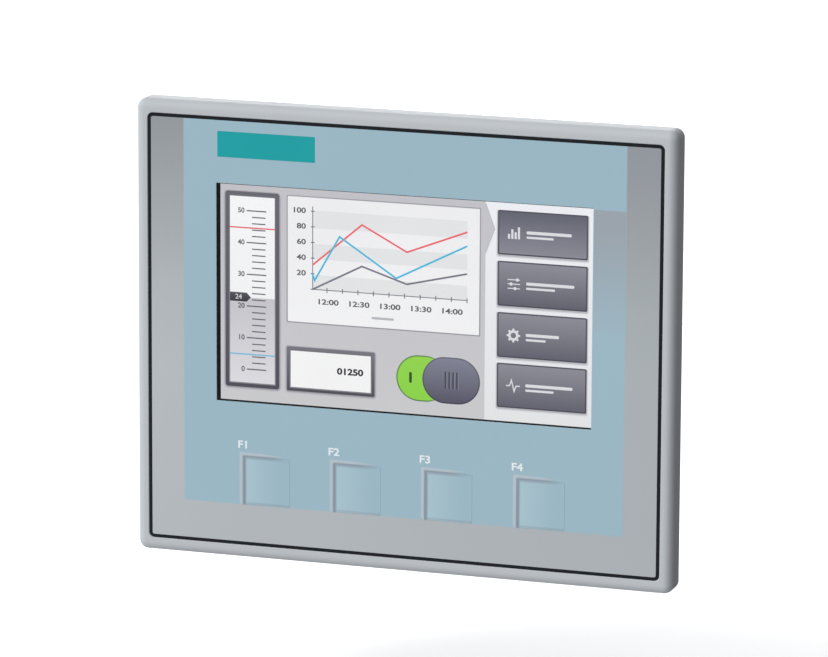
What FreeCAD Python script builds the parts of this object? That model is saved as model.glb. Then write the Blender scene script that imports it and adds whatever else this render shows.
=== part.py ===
"""Touch panel with a 4.3 inch display and four function keys, for a cut-out in a cabinet door.

Millimetres.  +X is the operator's right, +Y runs from the operator into the cabinet, +Z is up.
The origin is the centre of the cabinet cut-out, in the plane where the seal meets the door.
"""
import FreeCAD, Part
import math
import os

V = FreeCAD.Vector
OUT = "parts"

# ---------------------------------------------------------------- front frame and its cover sheet
FRONT_W = 141.0             # front frame, over all
FRONT_H = 116.0
FRAME_DEPTH = 7.0           # front face to the face behind the rim
FRONT_CORNER_R = 2.4
FRONT_EDGE_R = 2.2
RIM_BACK_EDGE_R = 0.7
SEAM_INSET_X = 3.2          # frame edge to the outer edge of the dark seam, at the sides
SEAM_INSET_Z = 3.4          # and at the top and bottom
SEAM_W = 0.9                # seam between the frame's lip and the cover sheet
SEAM_CORNER_R = 1.4
SEAM_LIP_R = 0.25
SEAL_BEAD_SET_BACK = 0.3    # the bead in the seam lies this far below the front face
OVERLAY_T = 0.4
OVERLAY_SET_BACK = 0.1
BOND_T = 0.15
FRONT_WALL_T = 2.35         # frame wall behind the bonded sheet
LEDGE_T = 1.05              # what is left of that wall round the touch sensor
FIT = 0.2                   # clearance on each side between a piece and its pocket
THIN_FIT = 0.05

# ---------------------------------------------------------------- display and touch sensor
ACTIVE_W = 97.2
ACTIVE_H = 55.1
WINDOW_MARGIN_X = 0.6       # sheet window beyond the picture, left and right
WINDOW_MARGIN_Z = 0.25      # and above and below
WINDOW_X = 0.15             # window centre, from the front's centre
WINDOW_Z = 10.07
WINDOW_FILM_T = 0.25
TOUCH_BORDER = 1.65
TOUCH_FILM_T = 0.2
TOUCH_GLASS_T = 0.9
DISPLAY_BORDER_X = 3.9      # display module beyond the window
DISPLAY_BORDER_Z = 5.8
DISPLAY_SHEET_T = 0.3
DISPLAY_T = 2.9
CELL_T = 1.2
LIGHT_GUIDE_T = 1.0
LED_BAR_W = 1.2
CUSHION_T = 0.65
CUSHION_W = 5.0

# ---------------------------------------------------------------- function keys
KEY_COUNT = 4
KEY_W = 12.0
KEY_H = 12.3
KEY_PITCH = 24.07
KEY_ROW_X = 0.6             # centre of the row
KEY_ROW_Z = -37.85
KEY_GAP = 0.12
KEY_TRAVEL = 0.4
KEY_FLANGE = 1.0            # flange beyond the key, each side
KEY_FLANGE_T = 0.7
KEY_EDGE_R = 0.05
STEM_R = 2.4                # stem behind the flange
STEM_L = 1.65
PIN_R = 1.0                 # pin that goes down into the switch
PIN_L = 1.6
PIN_REST = 0.8              # switch body to stem at rest
SWITCH_SIZE = 6.0
SWITCH_T = 2.5
KEY_BOARD_T = 1.2
KEY_BOARD_EDGE = 2.3        # key board beyond the outermost keys

# ---------------------------------------------------------------- housing
RIM_X = 9.0                 # frame rim beyond the cut-out, left and right
RIM_Z = 8.5                 # and above and below
CUTOUT_CLEARANCE = 0.5      # housing to cut-out, each side
OVERALL_DEPTH = 33.0
HOUSING_WALL = 2.0
HOUSING_CORNER_R = 3.0
HOUSING_EDGE_R = 1.6
RIB_T = 1.4                 # frame rib that locates the rear cover
RIB_H = 2.8
GASKET_PROUD = 0.8
GASKET_SEAT = 1.2
GASKET_W = 3.8
GASKET_FROM_CUTOUT = 0.9
LABEL_W = 52.0
LABEL_H = 30.0
LABEL_T = 0.15
LABEL_SEAT = 0.4
LABEL_Z = 6.0
VENT_W = 2.0
VENT_PITCH = 4.2
VENT_COUNT = 9
REAR_VENT_L = 26.0
REAR_VENT_COUNT = 6

# ---------------------------------------------------------------- fasteners
SCREW_R = 1.5
SCREW_HEAD_R = 2.6
SCREW_HEAD_T = 1.9
SCREW_SOCKET_R = 1.25
SMALL_SCREW_R = 1.0
SMALL_HEAD_R = 1.9
SMALL_HEAD_T = 1.2
SMALL_SOCKET_R = 0.8
SCREW_GAP = 0.05
COVER_BOSS_INSET = 2.8      # cover screw axis to the cover's inner walls
COVER_BOSS_R = 2.6
COLUMN_R = 3.7
COLUMN_START = 3.0          # y where the cover's screw columns meet the frame's bosses
COLUMN_FLOOR_T = 3.0
PLATE_BOSS_R = 2.0

# ---------------------------------------------------------------- chassis plate and main board
PLATE_T = 0.8
PLATE_TOP_GAP = 0.4
PLATE_BELOW_DISPLAY = 6.0
BOARD_SPACER = 5.0
BOARD_T = 1.6
BOARD_HALF_W = 50.5
BOARD_TOP_Z = 25.0
BOARD_BOTTOM_GAP = 1.5
BOARD_CLEARANCE = 0.5       # board to the clip pockets
SPACER_R = 2.2
SPACER_X = 46.0
SPACER_Z = 18.0
LOWER_BOSS_X = 48.2
LOWER_BOSS_UP = 2.5         # lower board bosses, up from the board's bottom edge
RIBBON_T = 0.2
RIBBON_BEND_R = 0.6
ZIF_H = 2.0
ZIF_L = 4.0

# ---------------------------------------------------------------- ports in the bottom wall
PORT_GAP = 0.3
PORT_RECESS = 0.3
ETHERNET_X = 21.0
ETHERNET_W = 15.9
ETHERNET_H = 13.3
ETHERNET_L = 21.3
ETHERNET_SHELL_T = 0.3
ETHERNET_MOUTH_W = 11.9
ETHERNET_MOUTH_H = 7.0
ETHERNET_MOUTH_L = 14.0
ETHERNET_LATCH_W = 6.2
ETHERNET_LATCH_H = 2.4
ETHERNET_LED_W = 2.6
ETHERNET_LED_H = 1.6
USB_X = 3.0
USB_W = 13.1
USB_H = 5.7
USB_L = 14.0
USB_LIFT = 0.6
USB_SHELL_T = 0.35
USB_TONGUE_T = 1.8
USB_TONGUE_L = 8.9
POWER_X = -17.0
POWER_PINS = 3
POWER_PITCH = 5.08
SOCKET_WALL = 1.0
SOCKET_L = 12.0
SOCKET_DEPTH = 9.0
PLUG_GAP = 0.2
PLUG_H = 8.2
PLUG_SIDE = 0.4             # plug beyond its outer poles
PLUG_OUT_L = 8.0            # how far the plug stands out of the housing
PLUG_GRIP = 0.5             # grip part beyond the inserted part, each side
PLUG_TRAVEL = 10.0
PIN_SIZE = 1.0
TERMINAL_R = 1.7
TERMINAL_T = 1.3
WIRE_W = 3.0
WIRE_H = 3.2
WIRE_L = 6.5

# ---------------------------------------------------------------- mounting clips
CLIP_X = 38.0
CLIP_W = 12.0
CLIP_Y = 7.4                # front of the clip's foot
CLIP_FOOT_L = 10.8
CLIP_FOOT_DEPTH = 5.8
CLIP_HEAD_L = 4.6
CLIP_HEAD_Y = 8.4
CLIP_HEAD_H = 4.9
CLIP_SCREW_UP = 2.8         # clip screw axis above the housing wall
CLIP_SCREW_R = 1.5
CLIP_SCREW_HEAD_R = 2.2
CLIP_SCREW_HEAD_T = 2.0
CLIP_SCREW_TIP_Y = 6.6      # tip at rest: it clears a 6 mm door
CLIP_SCREW_TRAVEL = 4.6
CLIP_POCKET_WALL = 1.6

# ---------------------------------------------------------------- worked out from the above
Y_FRONT = -GASKET_PROUD - FRAME_DEPTH
Y_RIM_BACK = -GASKET_PROUD
Y_OVERLAY = Y_FRONT + OVERLAY_SET_BACK
Y_OVERLAY_BACK = Y_OVERLAY + OVERLAY_T
Y_FLOOR = Y_OVERLAY_BACK + BOND_T
Y_LEDGE_BACK = Y_FLOOR + LEDGE_T
Y_WALL_BACK = Y_FLOOR + FRONT_WALL_T
Y_REAR = OVERALL_DEPTH + Y_FRONT

SEAM_HALF_W = FRONT_W / 2 - SEAM_INSET_X
SEAM_HALF_H = FRONT_H / 2 - SEAM_INSET_Z
OVERLAY_W = 2 * (SEAM_HALF_W - SEAM_W)
OVERLAY_H = 2 * (SEAM_HALF_H - SEAM_W)
WINDOW_W = ACTIVE_W + 2 * WINDOW_MARGIN_X
WINDOW_H = ACTIVE_H + 2 * WINDOW_MARGIN_Z
TOUCH_W = WINDOW_W + 2 * TOUCH_BORDER
TOUCH_H = WINDOW_H + 2 * TOUCH_BORDER
DISPLAY_W = WINDOW_W + 2 * DISPLAY_BORDER_X
DISPLAY_H = WINDOW_H + 2 * DISPLAY_BORDER_Z
DISPLAY_BOTTOM = WINDOW_Z - DISPLAY_H / 2
Y_TOUCH = Y_OVERLAY_BACK + THIN_FIT
Y_TOUCH_GLASS = Y_TOUCH + TOUCH_FILM_T
Y_DISPLAY = Y_LEDGE_BACK + THIN_FIT
Y_CELL = Y_DISPLAY + DISPLAY_SHEET_T
Y_GUIDE = Y_CELL + CELL_T
Y_DISPLAY_BACK = Y_DISPLAY + DISPLAY_T
Y_PLATE = Y_DISPLAY_BACK + CUSHION_T
Y_PLATE_BACK = Y_PLATE + PLATE_T
Y_BOARD = Y_PLATE_BACK + BOARD_SPACER
Y_BOARD_BACK = Y_BOARD + BOARD_T

CUTOUT_W = FRONT_W - 2 * RIM_X
CUTOUT_H = FRONT_H - 2 * RIM_Z
HOUSING_W = CUTOUT_W - 2 * CUTOUT_CLEARANCE
HOUSING_H = CUTOUT_H - 2 * CUTOUT_CLEARANCE
INNER_W = HOUSING_W - 2 * HOUSING_WALL
INNER_H = HOUSING_H - 2 * HOUSING_WALL
CAVITY_W = INNER_W - 2 * (FIT + RIB_T)
CAVITY_H = INNER_H - 2 * (FIT + RIB_T)
Z_BOTTOM = -HOUSING_H / 2
COVER_SCREWS = [(sx * (INNER_W / 2 - COVER_BOSS_INSET), sz * (INNER_H / 2 - COVER_BOSS_INSET))
                for sx in (-1, 1) for sz in (-1, 1)]

Y_KEY_FLANGE = Y_WALL_BACK + THIN_FIT
Y_STEM = Y_KEY_FLANGE + KEY_FLANGE_T
Y_STEM_BACK = Y_STEM + STEM_L
Y_SWITCH = Y_STEM_BACK + PIN_REST
Y_KEY_BOARD = Y_SWITCH + SWITCH_T
KEY_XS = [KEY_ROW_X + KEY_PITCH * (i - (KEY_COUNT - 1) / 2) for i in range(KEY_COUNT)]
KEY_FLANGE_H = KEY_H + 2 * KEY_FLANGE
KEY_BOARD_W = KEY_XS[-1] - KEY_XS[0] + KEY_W + 2 * KEY_BOARD_EDGE
KEY_BOARD_H = KEY_FLANGE_H + 0.5
KEY_BOARD_SCREWS = [((KEY_XS[0] + KEY_XS[1]) / 2, KEY_ROW_Z + KEY_H / 2),
                    ((KEY_XS[-2] + KEY_XS[-1]) / 2, KEY_ROW_Z + KEY_H / 2),
                    (KEY_ROW_X, KEY_ROW_Z - KEY_H / 2)]
KEY_BOSS_R = 1.7

PLATE_TOP = INNER_H / 2 - COVER_BOSS_INSET - COVER_BOSS_R - PLATE_TOP_GAP
PLATE_BOTTOM = DISPLAY_BOTTOM - PLATE_BELOW_DISPLAY
PLATE_W = CAVITY_W - 2 * FIT
PLATE_SCREW_X = PLATE_W / 2 - PLATE_BOSS_R + FIT
PLATE_SCREWS = [(sx * PLATE_SCREW_X, z)
                for sx in (-1, 1) for z in (PLATE_BOTTOM + 3.5, PLATE_TOP - 7.0)]

BOARD_BOTTOM = -INNER_H / 2 + BOARD_BOTTOM_GAP
UPPER_SCREWS = [(sx * SPACER_X, SPACER_Z) for sx in (-1, 1)]
LOWER_SCREWS = [(sx * LOWER_BOSS_X, BOARD_BOTTOM + LOWER_BOSS_UP) for sx in (-1, 1)]
Z_RIBBON = DISPLAY_BOTTOM - 1.4
Z_ZIF = Z_RIBBON + 2.8
Y_ZIF_ENTRY = Y_BOARD - ZIF_H / 2
DISPLAY_RIBBON = (-15.0, 36.0)      # centre x and width
TOUCH_RIBBON = (30.0, 12.0)
KEY_RIBBON = (KEY_ROW_X, 10.0)

Z_PORT = Z_BOTTOM + PORT_RECESS     # mouths of the ports
Y_ETHERNET = Y_BOARD_BACK
Y_USB = Y_BOARD_BACK + USB_LIFT
Y_SOCKET = Y_BOARD_BACK
PLUG_W = POWER_PINS * POWER_PITCH + 2 * PLUG_SIDE
SOCKET_W = PLUG_W + 2 * (PLUG_GAP + SOCKET_WALL)
SOCKET_H = PLUG_H + 2 * (PLUG_GAP + SOCKET_WALL)
Y_POWER = Y_SOCKET + SOCKET_H / 2   # axis of the plug
POWER_XS = [POWER_X + POWER_PITCH * (i - (POWER_PINS - 1) / 2) for i in range(POWER_PINS)]
Z_PLUG_END = Z_BOTTOM - PLUG_OUT_L
Z_PLUG_STEP = Z_BOTTOM - 0.3        # where the plug's grip begins, just outside the wall
Z_SOCKET_FLOOR = Z_PORT + SOCKET_DEPTH
Z_TERMINAL = (Z_PLUG_END + Z_PLUG_STEP) / 2
CLIP_SITES = [(sx * CLIP_X, sz) for sz in (1, -1) for sx in (-1, 1)]


# ---------------------------------------------------------------- small shape helpers
def box(x0, x1, y0, y1, z0, z1):
    """Block between two corners."""
    return Part.makeBox(x1 - x0, y1 - y0, z1 - z0, V(x0, y0, z0))


def slab(cx, cz, w, h, y0, y1, r=0.0):
    """Plate of width w (X) and height h (Z) from y0 to y1, with rounded corners if r is given."""
    x0, x1, z0, z1 = cx - w / 2, cx + w / 2, cz - h / 2, cz + h / 2
    if r <= 0:
        return box(x0, x1, y0, y1, z0, z1)
    k = r * (1 - math.sqrt(0.5))
    corners = [(x1, z0, 1, -1), (x1, z1, 1, 1), (x0, z1, -1, 1), (x0, z0, -1, -1)]
    edges = []
    ends = []
    for x, z, sx, sz in corners:
        on_side = V(x, y0, z - sz * r)
        on_cap = V(x - sx * r, y0, z)
        first, last = (on_cap, on_side) if sx * sz < 0 else (on_side, on_cap)
        edges.append(Part.Arc(first, V(x - sx * k, y0, z - sz * k), last).toShape())
        ends.append((first, last))
    for i in range(4):
        edges.append(Part.LineSegment(ends[i][1], ends[(i + 1) % 4][0]).toShape())
    wire = Part.Wire(Part.__sortEdges__(edges))
    return Part.Face(wire).extrude(V(0, y1 - y0, 0))


def ring(cx, cz, w, h, border, y0, y1, r=0.0, inner_r=0.0):
    """Flat frame: an outer plate less a window that leaves the border all round."""
    outer = slab(cx, cz, w, h, y0, y1, r)
    return outer.cut(slab(cx, cz, w - 2 * border, h - 2 * border, y0 - 1, y1 + 1, inner_r))


def rod_y(x, z, r, y0, y1):
    """Cylinder along Y."""
    return Part.makeCylinder(r, y1 - y0, V(x, y0, z), V(0, 1, 0))


def hex_y(x, z, r, y0, y1):
    """Hexagonal prism along Y, r to its corners."""
    points = [V(x + r * math.cos(math.radians(60 * i)), y0, z + r * math.sin(math.radians(60 * i)))
              for i in range(7)]
    return Part.Face(Part.makePolygon(points)).extrude(V(0, y1 - y0, 0))


def fuse(shapes):
    """One solid out of touching shapes."""
    shapes = list(shapes)
    whole = shapes[0].multiFuse(shapes[1:]) if len(shapes) > 1 else shapes[0]
    return whole.removeSplitter()


def fillet_where(shape, r, test):
    """Rounds the edges whose middle point passes the test."""
    picked = []
    for edge in shape.Edges:
        middle = edge.valueAt((edge.FirstParameter + edge.LastParameter) / 2)
        if test(middle, edge):
            picked.append(edge)
    return shape.makeFillet(r, picked)


def screw_y(x, z, r, head_r, head_t, socket_r, y_head, length):
    """Pan-head screw driven along -Y: its head lies behind y_head and its shank in front."""
    head = rod_y(x, z, head_r, y_head, y_head + head_t)
    rim = fillet_where(head, head_t * 0.4, lambda p, e: p.y > y_head + head_t - 0.01 and e.Length > head_r)
    socket = hex_y(x, z, socket_r, y_head + head_t * 0.45, y_head + head_t + 1)
    return rim.fuse(rod_y(x, z, r, y_head - length, y_head)).cut(socket).removeSplitter()


def ribbon(points, x_centre, width):
    """Flat cable: a thin strip that follows the (y, z) points with rounded bends."""
    path = [V(x_centre, y, z) for y, z in points]
    edges = []
    start = path[0]
    for i in range(1, len(path) - 1):
        into = (path[i] - path[i - 1]).normalize()
        out = (path[i + 1] - path[i]).normalize()
        cut = RIBBON_BEND_R * math.tan(into.getAngle(out) / 2)
        a = path[i] - into * cut
        b = path[i] + out * cut
        towards = (out - into).normalize()
        reach = RIBBON_BEND_R / math.cos(into.getAngle(out) / 2) - RIBBON_BEND_R
        edges.append(Part.LineSegment(start, a).toShape())
        edges.append(Part.Arc(a, path[i] + towards * reach, b).toShape())
        start = b
    edges.append(Part.LineSegment(start, path[-1]).toShape())
    along = (path[1] - path[0]).normalize()
    across = V(0, -along.z, along.y) * (RIBBON_T / 2)
    side = V(width / 2, 0, 0)
    corners = [path[0] + side + across, path[0] - side + across, path[0] - side - across, path[0] + side - across]
    profile = Part.makePolygon(corners + corners[:1])
    return Part.Wire(edges).makePipeShell([profile], True, False)


def flip_z(shape):
    """The same piece on the other side of the middle, turned over in Z."""
    return shape.mirror(V(0, 0, 0), V(0, 0, 1))


# ---------------------------------------------------------------- front assembly
def front_frame():
    """Moulded frame: lip, recess for the sheet, window, key openings, ribs and screw bosses."""
    body = slab(0, 0, FRONT_W, FRONT_H, Y_FRONT, Y_RIM_BACK, FRONT_CORNER_R)
    body = fillet_where(body, FRONT_EDGE_R, lambda p, e: p.y < Y_FRONT + 0.01)
    body = fillet_where(body, RIM_BACK_EDGE_R, lambda p, e: p.y > Y_RIM_BACK - 0.01)
    body = body.cut(slab(0, 0, 2 * SEAM_HALF_W, 2 * SEAM_HALF_H, Y_FRONT - 1, Y_FLOOR, SEAM_CORNER_R))
    body = fillet_where(body, SEAM_LIP_R, lambda p, e: p.y < Y_FRONT + 0.01
                        and abs(p.x) < SEAM_HALF_W + 0.01 and abs(p.z) < SEAM_HALF_H + 0.01)
    body = body.cut(slab(0, 0, CAVITY_W, CAVITY_H, Y_WALL_BACK, Y_RIM_BACK + 1))
    key_room = slab(KEY_ROW_X, KEY_ROW_Z, KEY_BOARD_W + 2 * THIN_FIT, KEY_BOARD_H + 2 * THIN_FIT,
                    Y_WALL_BACK, Y_KEY_BOARD + KEY_BOARD_T + FIT)
    body = body.cut(key_room)
    rib = ring(0, 0, CAVITY_W + 2 * RIB_T, CAVITY_H + 2 * RIB_T, RIB_T, Y_RIM_BACK - 0.5, Y_RIM_BACK + RIB_H,
               HOUSING_CORNER_R - HOUSING_WALL).cut(key_room)
    bosses = [rod_y(x, z, COVER_BOSS_R, Y_WALL_BACK, COLUMN_START) for x, z in COVER_SCREWS]
    bosses += [rod_y(x, z, PLATE_BOSS_R, Y_WALL_BACK, Y_PLATE) for x, z in PLATE_SCREWS]
    bosses += [rod_y(x, z, SPACER_R, Y_WALL_BACK, Y_BOARD) for x, z in LOWER_SCREWS]
    bosses += [rod_y(x, z, KEY_BOSS_R, Y_WALL_BACK, Y_KEY_BOARD) for x, z in KEY_BOARD_SCREWS]
    body = body.multiFuse([rib] + bosses)

    cuts = [slab(WINDOW_X, WINDOW_Z, TOUCH_W + 2 * FIT, TOUCH_H + 2 * FIT, Y_FRONT, Y_WALL_BACK + 1),
            slab(WINDOW_X, WINDOW_Z, DISPLAY_W + 2 * FIT, DISPLAY_H + 2 * FIT, Y_LEDGE_BACK, Y_RIM_BACK + 1)]
    for x in KEY_XS:
        cuts.append(slab(x, KEY_ROW_Z, KEY_W + 2 * KEY_GAP, KEY_H + 2 * KEY_GAP, Y_FRONT, Y_WALL_BACK + 1))
    seat_w = CUTOUT_W + 2 * (GASKET_FROM_CUTOUT + GASKET_W)
    seat_h = CUTOUT_H + 2 * (GASKET_FROM_CUTOUT + GASKET_W)
    cuts.append(ring(0, 0, seat_w + 2 * THIN_FIT, seat_h + 2 * THIN_FIT, GASKET_W + 2 * THIN_FIT,
                     Y_RIM_BACK - GASKET_SEAT, Y_RIM_BACK + 0.5))
    tail_x, tail_w = TOUCH_RIBBON
    touch_bottom = WINDOW_Z - TOUCH_H / 2
    cuts.append(box(tail_x - tail_w / 2 - FIT, tail_x + tail_w / 2 + FIT, Y_LEDGE_BACK - 2 * RIBBON_T,
                    Y_WALL_BACK + 1, Z_RIBBON - 1.0, touch_bottom))
    for x, z in COVER_SCREWS:
        cuts.append(rod_y(x, z, SCREW_R + SCREW_GAP, COLUMN_START - 6.5, COLUMN_START + 1))
    for x, z in PLATE_SCREWS:
        cuts.append(rod_y(x, z, SMALL_SCREW_R + SCREW_GAP, Y_PLATE - 4.0, Y_PLATE + 1))
    for x, z in LOWER_SCREWS:
        cuts.append(rod_y(x, z, SMALL_SCREW_R + SCREW_GAP, Y_BOARD - 5.0, Y_BOARD + 1))
    for x, z in KEY_BOARD_SCREWS:
        cuts.append(rod_y(x, z, SMALL_SCREW_R + SCREW_GAP, Y_KEY_BOARD - 5.0, Y_KEY_BOARD + 1))
    for cutter in cuts:
        body = body.cut(cutter)
    return body.removeSplitter()


def front_overlay():
    """Printed sheet over the whole front, with the display window and key openings."""
    sheet = slab(0, 0, OVERLAY_W, OVERLAY_H, Y_OVERLAY, Y_OVERLAY_BACK, SEAM_CORNER_R - SEAM_W)
    sheet = sheet.cut(slab(WINDOW_X, WINDOW_Z, WINDOW_W, WINDOW_H, Y_OVERLAY - 1, Y_OVERLAY_BACK + 1))
    for x in KEY_XS:
        sheet = sheet.cut(slab(x, KEY_ROW_Z, KEY_W + 2 * KEY_GAP, KEY_H + 2 * KEY_GAP, Y_FRONT, Y_OVERLAY_BACK + 1))
    return sheet


def window_film():
    """Clear film let into the sheet over the display, flush with the sheet's back."""
    return slab(WINDOW_X, WINDOW_Z, WINDOW_W, WINDOW_H, Y_OVERLAY_BACK - WINDOW_FILM_T, Y_OVERLAY_BACK)


def overlay_bond():
    """Adhesive layer that holds the sheet to the frame."""
    sheet = slab(0, 0, OVERLAY_W, OVERLAY_H, Y_OVERLAY_BACK, Y_FLOOR, SEAM_CORNER_R - SEAM_W)
    sheet = sheet.cut(slab(WINDOW_X, WINDOW_Z, TOUCH_W + 2 * FIT, TOUCH_H + 2 * FIT, Y_FRONT, Y_WALL_BACK))
    for x in KEY_XS:
        sheet = sheet.cut(slab(x, KEY_ROW_Z, KEY_W + 2 * KEY_GAP, KEY_H + 2 * KEY_GAP, Y_FRONT, Y_WALL_BACK))
    return sheet


def seam_seal():
    """Black sealing bead that fills the seam round the sheet."""
    return ring(0, 0, 2 * SEAM_HALF_W, 2 * SEAM_HALF_H, SEAM_W, Y_FRONT + SEAL_BEAD_SET_BACK, Y_FLOOR,
                SEAM_CORNER_R, SEAM_CORNER_R - SEAM_W)


def panel_gasket():
    """Rubber ring behind the rim that the cabinet door presses on."""
    w = CUTOUT_W + 2 * (GASKET_FROM_CUTOUT + GASKET_W)
    h = CUTOUT_H + 2 * (GASKET_FROM_CUTOUT + GASKET_W)
    return ring(0, 0, w, h, GASKET_W, Y_RIM_BACK - GASKET_SEAT, 0)


def touch_film():
    """Flexible upper layer of the resistive touch sensor."""
    return slab(WINDOW_X, WINDOW_Z, TOUCH_W, TOUCH_H, Y_TOUCH, Y_TOUCH_GLASS)


def touch_glass():
    """Glass base of the touch sensor."""
    return slab(WINDOW_X, WINDOW_Z, TOUCH_W, TOUCH_H, Y_TOUCH_GLASS, Y_TOUCH_GLASS + TOUCH_GLASS_T)


# ---------------------------------------------------------------- display module
def display_frame():
    """Pressed steel frame of the display: a front border and four short sides."""
    shell = slab(WINDOW_X, WINDOW_Z, DISPLAY_W, DISPLAY_H, Y_DISPLAY, Y_DISPLAY_BACK, 0.6)
    inside_w = DISPLAY_W - 2 * DISPLAY_SHEET_T
    inside_h = DISPLAY_H - 2 * DISPLAY_SHEET_T
    shell = shell.cut(slab(WINDOW_X, WINDOW_Z, inside_w, inside_h, Y_CELL, Y_DISPLAY_BACK + 1))
    return shell.cut(slab(WINDOW_X, WINDOW_Z, WINDOW_W, WINDOW_H, Y_DISPLAY - 1, Y_CELL + 1))


def display_panel():
    """Liquid crystal cell."""
    w = DISPLAY_W - 2 * (DISPLAY_SHEET_T + THIN_FIT)
    h = DISPLAY_H - 2 * (DISPLAY_SHEET_T + THIN_FIT)
    return slab(WINDOW_X, WINDOW_Z, w, h, Y_CELL, Y_GUIDE)


def light_guide():
    """Clear plate that spreads the backlight."""
    w = DISPLAY_W - 2 * (DISPLAY_SHEET_T + THIN_FIT)
    h = DISPLAY_H - 2 * (DISPLAY_SHEET_T + THIN_FIT) - LED_BAR_W
    return slab(WINDOW_X, WINDOW_Z + LED_BAR_W / 2, w, h, Y_GUIDE, Y_GUIDE + LIGHT_GUIDE_T)


def led_bar():
    """Strip of lamps along the guide's lower edge."""
    w = DISPLAY_W - 2 * (DISPLAY_SHEET_T + THIN_FIT)
    h = DISPLAY_H - 2 * (DISPLAY_SHEET_T + THIN_FIT)
    bottom = WINDOW_Z - h / 2
    return box(WINDOW_X - w / 2, WINDOW_X + w / 2, Y_GUIDE, Y_GUIDE + LIGHT_GUIDE_T, bottom, bottom + LED_BAR_W)


def display_tray():
    """Back tray that closes the display module."""
    w = DISPLAY_W - 2 * (DISPLAY_SHEET_T + THIN_FIT)
    h = DISPLAY_H - 2 * (DISPLAY_SHEET_T + THIN_FIT)
    return slab(WINDOW_X, WINDOW_Z, w, h, Y_GUIDE + LIGHT_GUIDE_T, Y_DISPLAY_BACK)


def display_cushions():
    """Foam strips between the display and the chassis plate, at its left and right edges."""
    length = min(PLATE_TOP, WINDOW_Z + DISPLAY_H / 2) - DISPLAY_BOTTOM - 4.0
    middle = DISPLAY_BOTTOM + 2.0 + length / 2
    reach = DISPLAY_W / 2 - CUSHION_W / 2 - 1.0
    return Part.makeCompound([slab(WINDOW_X + s * reach, middle, CUSHION_W, length, Y_DISPLAY_BACK, Y_PLATE)
                              for s in (-1, 1)])


# ---------------------------------------------------------------- keys
def key(x):
    """Key with its cap, flange, stem and the pin that works the switch."""
    cap = slab(x, KEY_ROW_Z, KEY_W, KEY_H, Y_OVERLAY, Y_KEY_FLANGE)
    cap = fillet_where(cap, KEY_EDGE_R, lambda p, e: p.y < Y_OVERLAY + 0.01)
    flange = slab(x, KEY_ROW_Z, KEY_W + 2 * KEY_FLANGE, KEY_FLANGE_H, Y_KEY_FLANGE, Y_STEM)
    stem = rod_y(x, KEY_ROW_Z, STEM_R, Y_STEM, Y_STEM_BACK)
    pin = rod_y(x, KEY_ROW_Z, PIN_R, Y_STEM_BACK, Y_STEM_BACK + PIN_L)
    return fuse([cap, flange, stem, pin])


def key_switches():
    """Bodies of the four short-stroke switches."""
    bodies = []
    for x in KEY_XS:
        block = slab(x, KEY_ROW_Z, SWITCH_SIZE, SWITCH_SIZE, Y_SWITCH, Y_KEY_BOARD)
        well = rod_y(x, KEY_ROW_Z, PIN_R + THIN_FIT, Y_SWITCH - 1, Y_STEM_BACK + PIN_L + KEY_TRAVEL + FIT)
        bodies.append(block.cut(well))
    return Part.makeCompound(bodies)


def key_board():
    """Small circuit board that carries the key switches."""
    board = slab(KEY_ROW_X, KEY_ROW_Z, KEY_BOARD_W, KEY_BOARD_H, Y_KEY_BOARD, Y_KEY_BOARD + KEY_BOARD_T)
    for x, z in KEY_BOARD_SCREWS:
        board = board.cut(rod_y(x, z, SMALL_SCREW_R + SCREW_GAP, Y_KEY_BOARD - 1, Y_KEY_BOARD + KEY_BOARD_T + 1))
    return board


def key_board_screws():
    """Screws that hold the key board."""
    return Part.makeCompound([screw_y(x, z, SMALL_SCREW_R, 1.7, 0.8, 0.7,
                                      Y_KEY_BOARD + KEY_BOARD_T, 4.0) for x, z in KEY_BOARD_SCREWS])


# ---------------------------------------------------------------- chassis and boards
def chassis_plate():
    """Sheet steel plate behind the display, which also carries the main board."""
    height = PLATE_TOP - PLATE_BOTTOM
    plate = slab(0, PLATE_BOTTOM + height / 2, PLATE_W, height, Y_PLATE, Y_PLATE_BACK, 1.0)
    for x, z in PLATE_SCREWS:
        plate = plate.cut(rod_y(x, z, SMALL_SCREW_R + SCREW_GAP, Y_PLATE - 1, Y_PLATE_BACK + 1))
    for x, z in UPPER_SCREWS:
        plate = plate.cut(rod_y(x, z, SMALL_SCREW_R + SCREW_GAP, Y_PLATE - 1, Y_PLATE_BACK + 1))
    for x, w in (DISPLAY_RIBBON, TOUCH_RIBBON):
        plate = plate.cut(box(x - w / 2 - 1, x + w / 2 + 1, Y_PLATE - 1, Y_PLATE_BACK + 1,
                              Z_RIBBON - 0.9, Z_RIBBON + 0.9))
    return plate


def plate_screws():
    """Screws of the chassis plate."""
    return Part.makeCompound([screw_y(x, z, SMALL_SCREW_R, SMALL_HEAD_R - 0.3, SMALL_HEAD_T, SMALL_SOCKET_R,
                                      Y_PLATE_BACK, 3.8) for x, z in PLATE_SCREWS])


def board_spacers():
    """Threaded hexagonal spacers between chassis plate and main board."""
    spacers = []
    for x, z in UPPER_SCREWS:
        post = hex_y(x, z, SPACER_R, Y_PLATE_BACK, Y_BOARD)
        spacers.append(post.cut(rod_y(x, z, SMALL_SCREW_R + SCREW_GAP, Y_PLATE_BACK - 1, Y_BOARD + 1)))
    return Part.makeCompound(spacers)


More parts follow.
